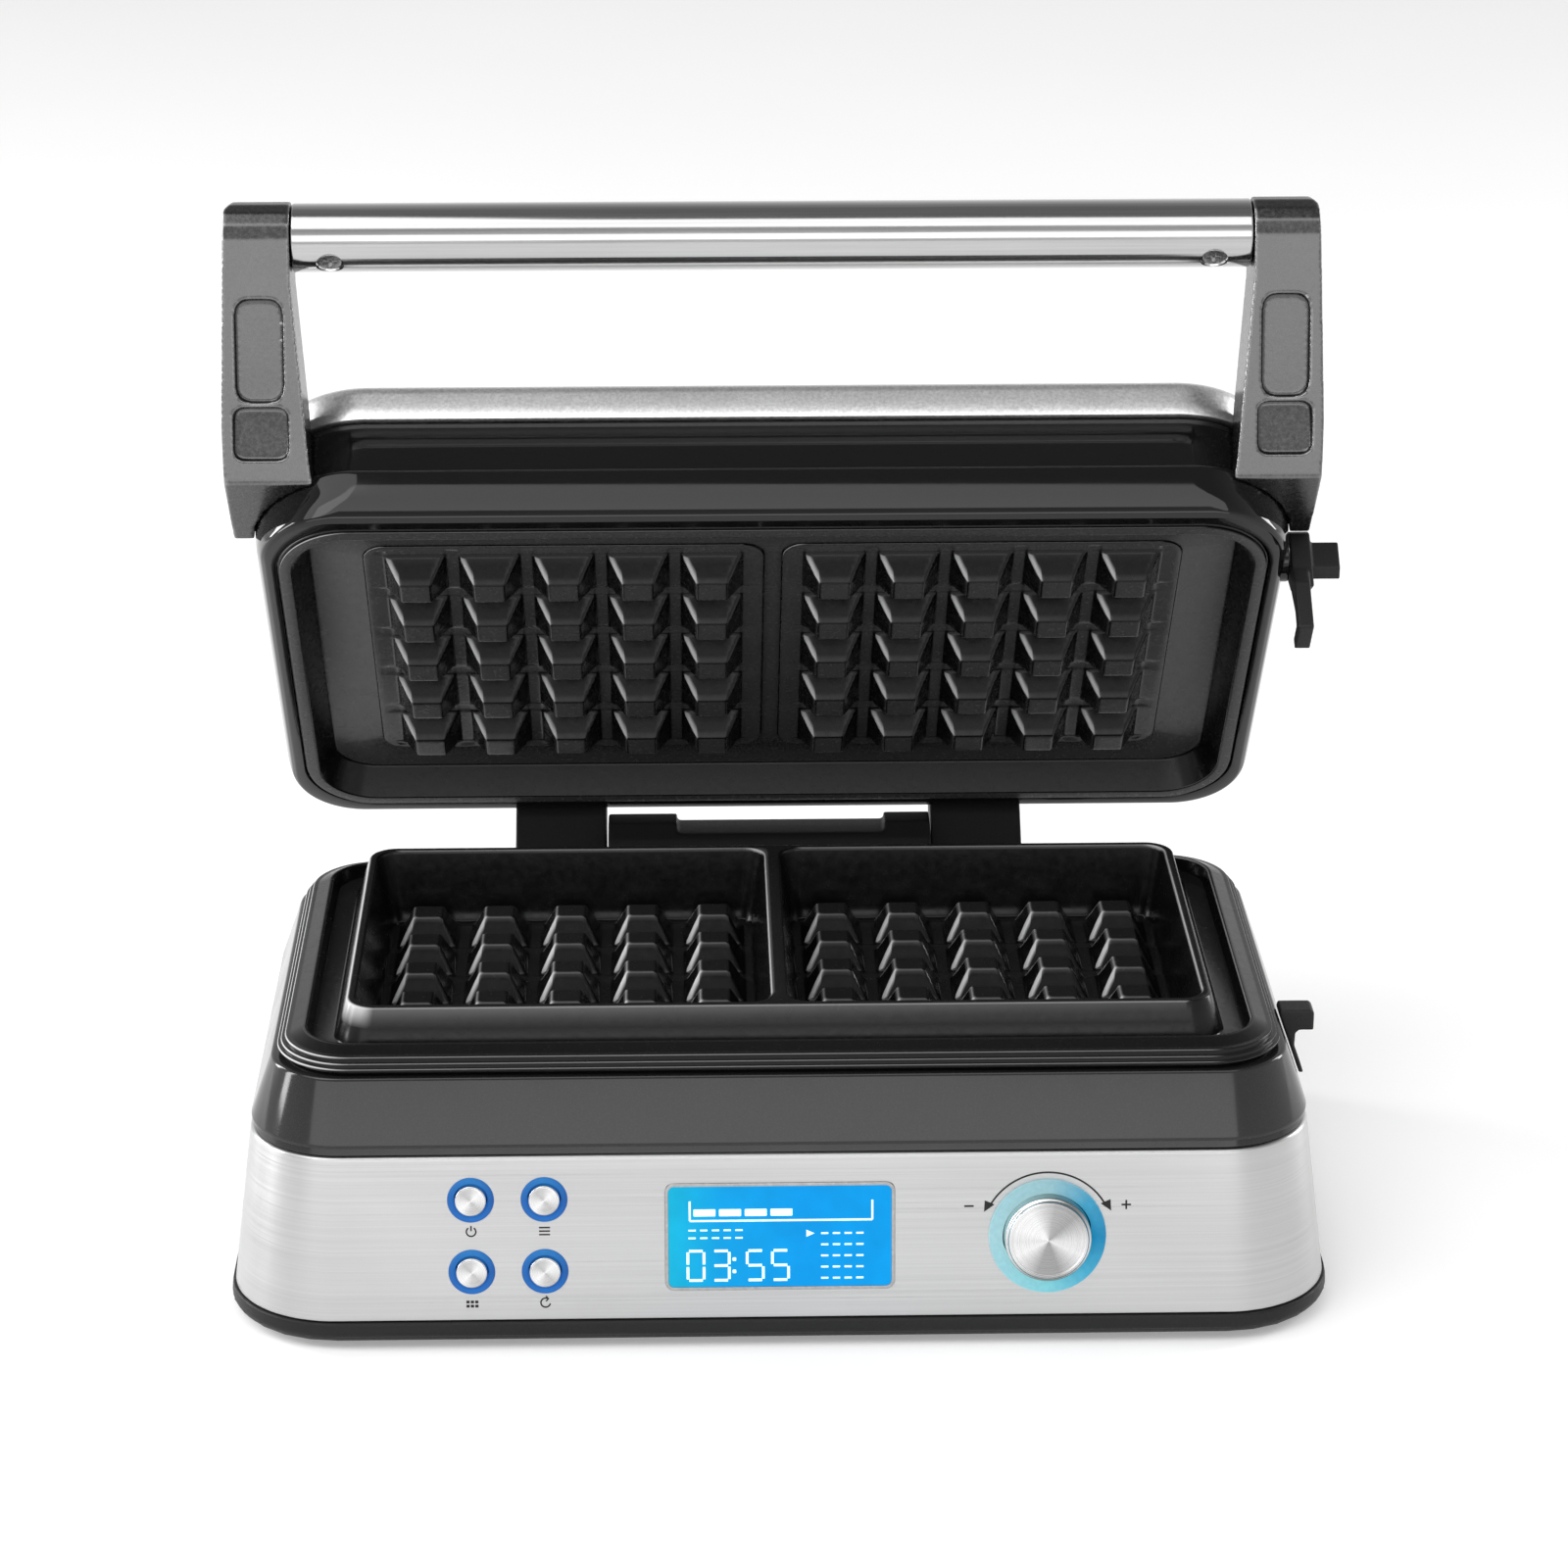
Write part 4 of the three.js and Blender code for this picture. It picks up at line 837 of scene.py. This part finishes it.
def lid_housing():
    """Gloss housing: curved flange around the upper plate, step, and upright wall."""
    lip = [(86, 139.9, 74.6, 21.3), (82.1, 139.9, 74.6, 21.3), (81.7, 140.1, 74.8, 21.2),
           (81.6, 140.5, 75.2, 21), (81.6, 142.2, 77.7, 19.6), (81.75, 142.75, 78.25, 19.9)]
    flange = flowing([(82.1, 143.1, 78.6, 20.2), (83.2, 144.1, 79.6, 22.4), (87, 145.4, 80.9, 26.8),
                      (92, 146.2, 81.7, 30.4), (95.9, 146.5, 82, 31)])
    shoulder = [(96.5, 146.4, 81.9, 30.9), (96.9, 146.1, 81.6, 30.6), (97, 145.6, 81.1, 30.1),
                (97, 144, 80.2, 29.9), (97.15, 143.4, 79.6, 29.4), (97.6, 143.1, 79.3, 29.1)]
    wall = [(98.5, 143, 79.2, 29), (106, 142.6, 78.8, 28.6), (114.5, 142.2, 78.4, 28.2),
            (115, 142, 78.2, 28), (115.2, 141.5, 77.7, 27.5), (115.2, 139.6, 75.8, 25.6),
            (100, 139.8, 76, 25)]
    mesh = skin(lip + flange + shoulder + wall, closed=True, steps=28)
    boss = moved(turned(fillets([(0, -4, 0), (6, -4, 0), (6, 0, 0.6), (0, 0, 0)]), 40),
                 Matrix.Translation((146.55, -45, 89)) @ Matrix.Rotation(math.pi / 2, 4, "Y"))
    mesh = joined(mesh, boss)
    piece("gloss_lid_housing", mesh, LID, "lid", GLOSS, ["lid_housing"])


def lid_cover():
    section = [(115.5, 1.3), (115.5, 0.35), (115.65, 0.1), (115.9, 0), (120, 0.15), (124, 0.3)]
    crown = flowing([(124.9, 0.4), (126.6, 0.95), (128.1, 2.5), (129.0, 4.8), (129.5, 8),
                     (130.0, 18), (130.6, 32), (130.9, 52)], 4)
    mesh = skin([inset_level(z, COVER, inset) for z, inset in section + crown], steps=28)
    piece("satin_lid_cover", mesh, LID, "lid", COVER_METAL, ["lid_cover"])


def handle_bar():
    """Round bar with chamfered ends, cut for two countersunk screws."""
    half, radius = BAR["half"], BAR["radius"]
    outline = fillets([(8, -half, 0), (radius, -half, 0.6), (radius, half, 0.6), (8, half, 0)])
    bar = moved(turned(outline, 72), Matrix.Rotation(math.pi / 2, 4, "Y"))
    cone = fillets([(0, -12, 0), (3.9, -12, 0), (3.9, -8.6, 0), (2.2, -6.6, 0), (0, -6.6, 0)])
    cutters = [shifted(turned(cone, 40), side * BAR["screw"], 0) for side in (-1, 1)]
    bar = shifted(carved(bar, cutters), 0, BAR["y"], BAR["z"])
    piece("satin_handle_bar", bar, LID, "lid", BAR_STEEL, ["handle_tube"])
    for side, word in ((-1, "left"), (1, "right")):
        seat = Vector((side * BAR["screw"], BAR["y"], BAR["z"] - BAR["screw_depth"])) * MM
        space = LID @ Matrix.Translation(seat) @ Matrix.Rotation(math.pi, 4, "X")
        piece(f"cross_handle_screw_{word}", screw_head(3.3, 2), space, "lid", FIXING,
              [f"handle_screw_{word}"])


def castings():
    for word in ("left", "right"):
        moulded(f"handle_arm_{word}", f"cast_handle_arm_{word}", 0.42, 9, "lid", CAST_METAL)
        moulded(f"hinge_knuckle_{word}", f"moulded_hinge_knuckle_{word}", 0.5, 6, "lid", MATT)
    moulded("hinge_block", "moulded_hinge_block", 0.5, 6, "base", MATT)
    moulded("catch_bracket", "moulded_catch", 0.35, 4, "base", MATT)
    moulded("latch_lever", "moulded_latch_lever", 0.35, 4, "latch", MATT)


# ---------------------------------------------------------------- the control panel


def knob():
    outline = fillets([(3.3, -1.4, 0), (11.9, -1.4, 0.3), (11.9, 3.8, 0.5), (11.1, 4.3, 0.3),
                       (10.8, 5.2, 0.35), (10.2, 5.2, 0.3), (9.8, 5.0, 0.3), (0, 4.9, 0),
                       (0, 3.6, 0), (3.3, 3.6, 0)])
    piece("spun_knob", turned(outline, 96), on_panel(*KNOB_AT), "knob", KNOB_METAL,
          ["control_knob"])
    ring = fillets([(12.3, -4, 0), (18, -4, 0), (18, -2, 0), (KNOB_RING, -2, 0),
                    (KNOB_RING, 1.4, 0.6), (15.0, 2.8, 0.6), (13.2, 2.3, 0.5), (12.3, 1.2, 0.3)])
    piece("lit_knob_ring", turned(ring, 96), on_panel(*KNOB_AT), "base", KNOB_LIGHT,
          ["knob_light_ring"])


def keys():
    cap = fillets([(0, -9.8, 0), (1.6, -9.8, 0.2), (1.6, -1.6, 0), (KEY_CAP, -1.6, 0.2),
                   (KEY_CAP, 1.15, 0.35), (KEY_CAP - 0.5, 1.5, 0.25), (2.2, 1.35, 0.8),
                   (0, 1.25, 0)])
    ring = fillets([(4.6, -3.6, 0), (7.8, -3.6, 0), (7.8, -2, 0), (KEY_RING, -2, 0),
                    (KEY_RING, 0.35, 0.25), (5.9, 0.75, 0.3), (4.9, 0.6, 0.25), (4.6, 0.1, 0.2)])
    places = [(x, v) for v in KEY_ROWS for x in KEY_COLUMNS]
    for number, (x, v) in enumerate(places, 1):
        piece(f"spun_key_{number}", turned(cap, 64), on_panel(x, v), f"key_{number}", KEY_METAL,
              [f"button_{number}"])
        piece(f"lit_key_ring_{number}", turned(ring, 64), on_panel(x, v), "base", KEY_LIGHT,
              [f"button_light_{number}"])


def stroke(points, width, heights):
    """A line of even width along x, y points, as a thin raised mark."""
    left, right = [], []
    for i, point in enumerate(points):
        before, after = Vector(points[max(i - 1, 0)]), Vector(points[min(i + 1, len(points) - 1)])
        along = (after - before).normalized()
        out = Vector((-along.y, along.x)) * width / 2
        left.append(tuple(Vector(point) + out))
        right.append(tuple(Vector(point) - out))
    return slab(right + left[::-1], *heights)


def bow(x, v, radius, start, end, steps=20):
    """Points along an arc between two angles in degrees."""
    angles = [math.radians(start + (end - start) * i / steps) for i in range(steps + 1)]
    return [(x + radius * math.cos(a), v + radius * math.sin(a)) for a in angles]


def key_marks():
    """A generic sign under each key: power, menu lines, texture squares and a return arrow."""
    below = 9.0
    left, right = KEY_COLUMNS
    top, bottom = KEY_ROWS
    power = [bow(left, top - below, 1.3, 125, 415),
             [(left, top - below + 0.2), (left, top - below + 1.7)]]
    lines = [[(right - 1.5, top - below + w), (right + 1.5, top - below + w)] for w in (-1, 0, 1)]
    dots = [[(left + u - 0.45, bottom - below + w), (left + u + 0.45, bottom - below + w)]
            for u in (-1.2, 0, 1.2) for w in (-0.8, 0.4)]
    back = [bow(right, bottom - below, 1.3, 60, 350),
            [(right + 0.1, bottom - below + 1.9), (right + 0.8, bottom - below + 1.1),
             (right + 0.1, bottom - below + 0.4)]]
    marks = [stroke(points, 0.42, PRINTED) for points in power + lines + back]
    return marks + [stroke(points, 0.8, PRINTED) for points in dots]


def knob_marks():
    """Turning arc with a solid arrow head at each end, and a minus and a plus beside it."""
    x, v = KNOB_AT
    marks = [stroke(bow(x, v, ARC_RADIUS, 150, 30, 40), SIGN_WIDTH, PRINTED)]
    for side in (-1, 1):
        tip = (x + side * 17.4, v + 6.9)
        head = [tip, (tip[0] - side * 2.9, tip[1] + 2.1), (tip[0] - side * 0.2, tip[1] + 3.3)]
        marks.append(slab(head[::-side], *PRINTED))
        middle = x + side * 21.5
        marks.append(stroke([(middle - 1.3, v + 8.6), (middle + 1.3, v + 8.6)], SIGN_WIDTH, PRINTED))
    marks.append(stroke([(x + 21.5, v + 7.3), (x + 21.5, v + 9.9)], SIGN_WIDTH, PRINTED))
    return marks


def panel_marks():
    marks = joined(*key_marks(), *knob_marks())
    piece("printed_panel_marks", marks, PANEL, "base", PRINT)


SEGMENTS = {  # lit bars of each digit: top, upper and lower right, bottom, left pair, middle
    "0": "abcdef", "3": "abcdg", "5": "acdfg",
}


def digit(character, x, v, width, height):
    """Bars of one seven-segment digit."""
    bars = {
        "a": ((0, 1), (1, 1)), "b": ((1, 1), (1, 0.5)), "c": ((1, 0.5), (1, 0)), "d": ((0, 0), (1, 0)),
        "e": ((0, 0.5), (0, 0)), "f": ((0, 1), (0, 0.5)), "g": ((0, 0.5), (1, 0.5)),
    }
    result = []
    for bar in SEGMENTS[character]:
        start, end = (Vector((x + u * width, v + w * height)) for u, w in bars[bar])
        trim = (end - start).normalized() * 0.35
        result.append(stroke([tuple(start + trim), tuple(end - trim)], 0.75, LIT))
    return result


def clock():
    """Bars of the time on the screen."""
    left, bottom, width, height = -25.2, -12.4, 4.4, 8.4
    bars = []
    for index, character in enumerate("0355"):
        gap = 2.4 if index > 1 else 0
        bars += digit(character, left + index * 6.9 + gap, bottom, width, height)
    for v in (-9.9, -6.4):
        bars.append(shifted(slab(loop(0.5, 0.5, 0.2, 2), *LIT), left + 12.7, v))
    return bars


def dashes(x, v, count, width):
    """A row of short dashes on the screen, in the place of a word."""
    return [stroke([(x + i * 3.2, v), (x + i * 3.2 + 2, v)], width, LIT) for i in range(count)]


def scale_marks():
    """Bracket with four bars, a pointer, and short dashes where a real screen lists its settings."""
    bracket = [(-24.6, 10.2), (-24.6, 4.6), (25.2, 4.6), (25.2, 10.2)]
    bars = [stroke([a, b], 0.55, LIT) for a, b in zip(bracket, bracket[1:])]
    bars += [shifted(slab(loop(3.0, 1.0, 0.2, 2), *LIT), -20.6 + i * 7, 6.9) for i in range(4)]
    bars.append(slab([(7.2, -0.2), (7.2, 1.8), (9.4, 0.8)], *LIT))
    for row in range(5):
        bars += dashes(11.2, 0.8 - row * 3.2, 4, 0.5)
    return bars + dashes(-25, 1.9, 5, 0.45) + dashes(-25, -0.3, 5, 0.45)


def screen():
    """Backlit screen with its bezel, seven-segment clock and a bar scale."""
    half_x, half_v = SCREEN_HALF
    space = on_panel(SCREEN_X, 0)
    face = slab(loop(half_x - 0.5, half_v - 0.5, 2.0, 8), -2.2, 0.22)
    piece("lit_screen_face", face, space, "base", SCREEN, ["display_window"])
    outer = (half_x + 0.35, half_v + 0.35, 2.6)
    section = [(-1.5, 0.0), (0.2, 0.0), (0.45, 0.15), (0.5, 0.4), (0.45, 0.95), (0.1, 1.1), (-1.5, 1.1)]
    bezel = skin([inset_level(z, outer, inset) for z, inset in section], closed=True, steps=8)
    piece("screen_bezel", bezel, space, "base", BEZEL)
    piece("screen_marks", joined(*clock(), *scale_marks()), space, "base", SEGMENT)


# ---------------------------------------------------------------- surroundings


LENS = 104.81
CAMERA_AT = (-0.0253, -1.2053, 0.58955)  # metres, from the middle of the plates on the floor
CAMERA_DOWN, CAMERA_TURN = 0.363, -0.023  # radians
FLOOR_REACH = 12  # metres


def camera():
    """The photograph's view."""
    data = bpy.data.cameras.new("camera")
    data.lens = LENS
    data.sensor_width = 36
    obj = bpy.data.objects.new("camera", data)
    bpy.context.scene.collection.objects.link(obj)
    obj.location = BASE @ Vector(CAMERA_AT)
    obj.rotation_euler = (math.pi / 2 - CAMERA_DOWN, 0, CAMERA_TURN)
    bpy.context.scene.camera = obj


def area_light(name, location, aim, size, power):
    """A soft box; places and sizes in metres, power in watts."""
    data = bpy.data.lights.new(name, "AREA")
    data.shape = "RECTANGLE"
    data.size, data.size_y = size
    data.energy = power
    obj = bpy.data.objects.new(name, data)
    bpy.context.scene.collection.objects.link(obj)
    obj.location = location
    obj.rotation_euler = (Vector(aim) - Vector(location)).to_track_quat("-Z", "Y").to_euler()
    obj.visible_camera = False


def sun_light(direction, strength, spread):
    data = bpy.data.lights.new("soft_sun", "SUN")
    data.energy = strength
    data.angle = math.radians(spread)
    obj = bpy.data.objects.new("soft_sun", data)
    bpy.context.scene.collection.objects.link(obj)
    obj.rotation_euler = Vector(direction).to_track_quat("-Z", "Y").to_euler()


def studio_sky():
    """White round the horizon and darker overhead."""
    world = bpy.data.worlds.new("studio")
    bpy.context.scene.world = world
    world.use_nodes = True
    tree = world.node_tree
    split = add(tree, "ShaderNodeSeparateXYZ")
    tree.links.new(add(tree, "ShaderNodeTexCoord").outputs["Generated"], split.inputs["Vector"])
    sky = ramp(tree, split.outputs["Z"], [(0.0, 1.0), (0.2, 0.9), (0.6, 0.5), (0.9, 0.22), (1.0, 0.2)])
    background = tree.nodes["Background"]
    background.inputs["Strength"].default_value = 1.0
    tree.links.new(sky, background.inputs["Color"])


def studio_floor():
    material, tree, shader = new_material("pale_floor")
    tone = ramp(tree, noise(tree, (4, 4, 4), 2), [(0.0, 0.8), (1.0, 0.83)])
    tree.links.new(tone, shader.inputs["Base Color"])
    shader.inputs["Emission Color"].default_value = (1, 1, 1, 1)
    shader.inputs["Emission Strength"].default_value = 0.22
    shader.inputs["Roughness"].default_value = 0.8
    shader.inputs["Specular IOR Level"].default_value = 0.1
    corners = [(x * FLOOR_REACH, y * FLOOR_REACH) for x, y in ((-1, -1), (1, -1), (1, 1), (-1, 1))]
    ground = bpy.data.objects.new("floor", slab(corners, -0.01, 0))
    ground.data.materials.append(material)
    bpy.context.scene.collection.objects.link(ground)


def surroundings():
    studio_sky()
    studio_floor()
    sun_light((0.5, 0.3, -1), 0.7, 40)
    area_light("front_box", (-0.25, -1.9, 0.66), (0, 0, 0.1), (2.6, 0.66), 9)
    area_light("top_box", (-0.1, -0.85, 1.6), (0, 0, 0.2), (2.2, 0.8), 10)
    for x, power in ((-1.5, 13), (1.5, 9.1)):
        area_light("back_strip", (x, 0.65, 0.6), (0, 0, 0.15), (0.3, 0.9), power)
    area_light("left_strip", (-1.5, -0.1, 0.6), (0, 0, 0.15), (0.25, 0.8), 8)
    bpy.context.scene.view_settings.view_transform = "Standard"


def node_materials():
    """Gives every CAD piece the material of its slot."""
    for row in frame["record"]["subparts"]:
        data = frame["nodes"][row["node"]].data
        data.materials.clear()
        data.materials.append(NODE_MATERIAL[row["material_slot"]])


node_materials()
trim_band()
steel_band()
collar()
feet_and_screws()
cord_inlet()
lower_plate()
upper_plate()
lid_housing()
lid_cover()
handle_bar()
castings()
knob()
keys()
panel_marks()
screen()
camera()
surroundings()
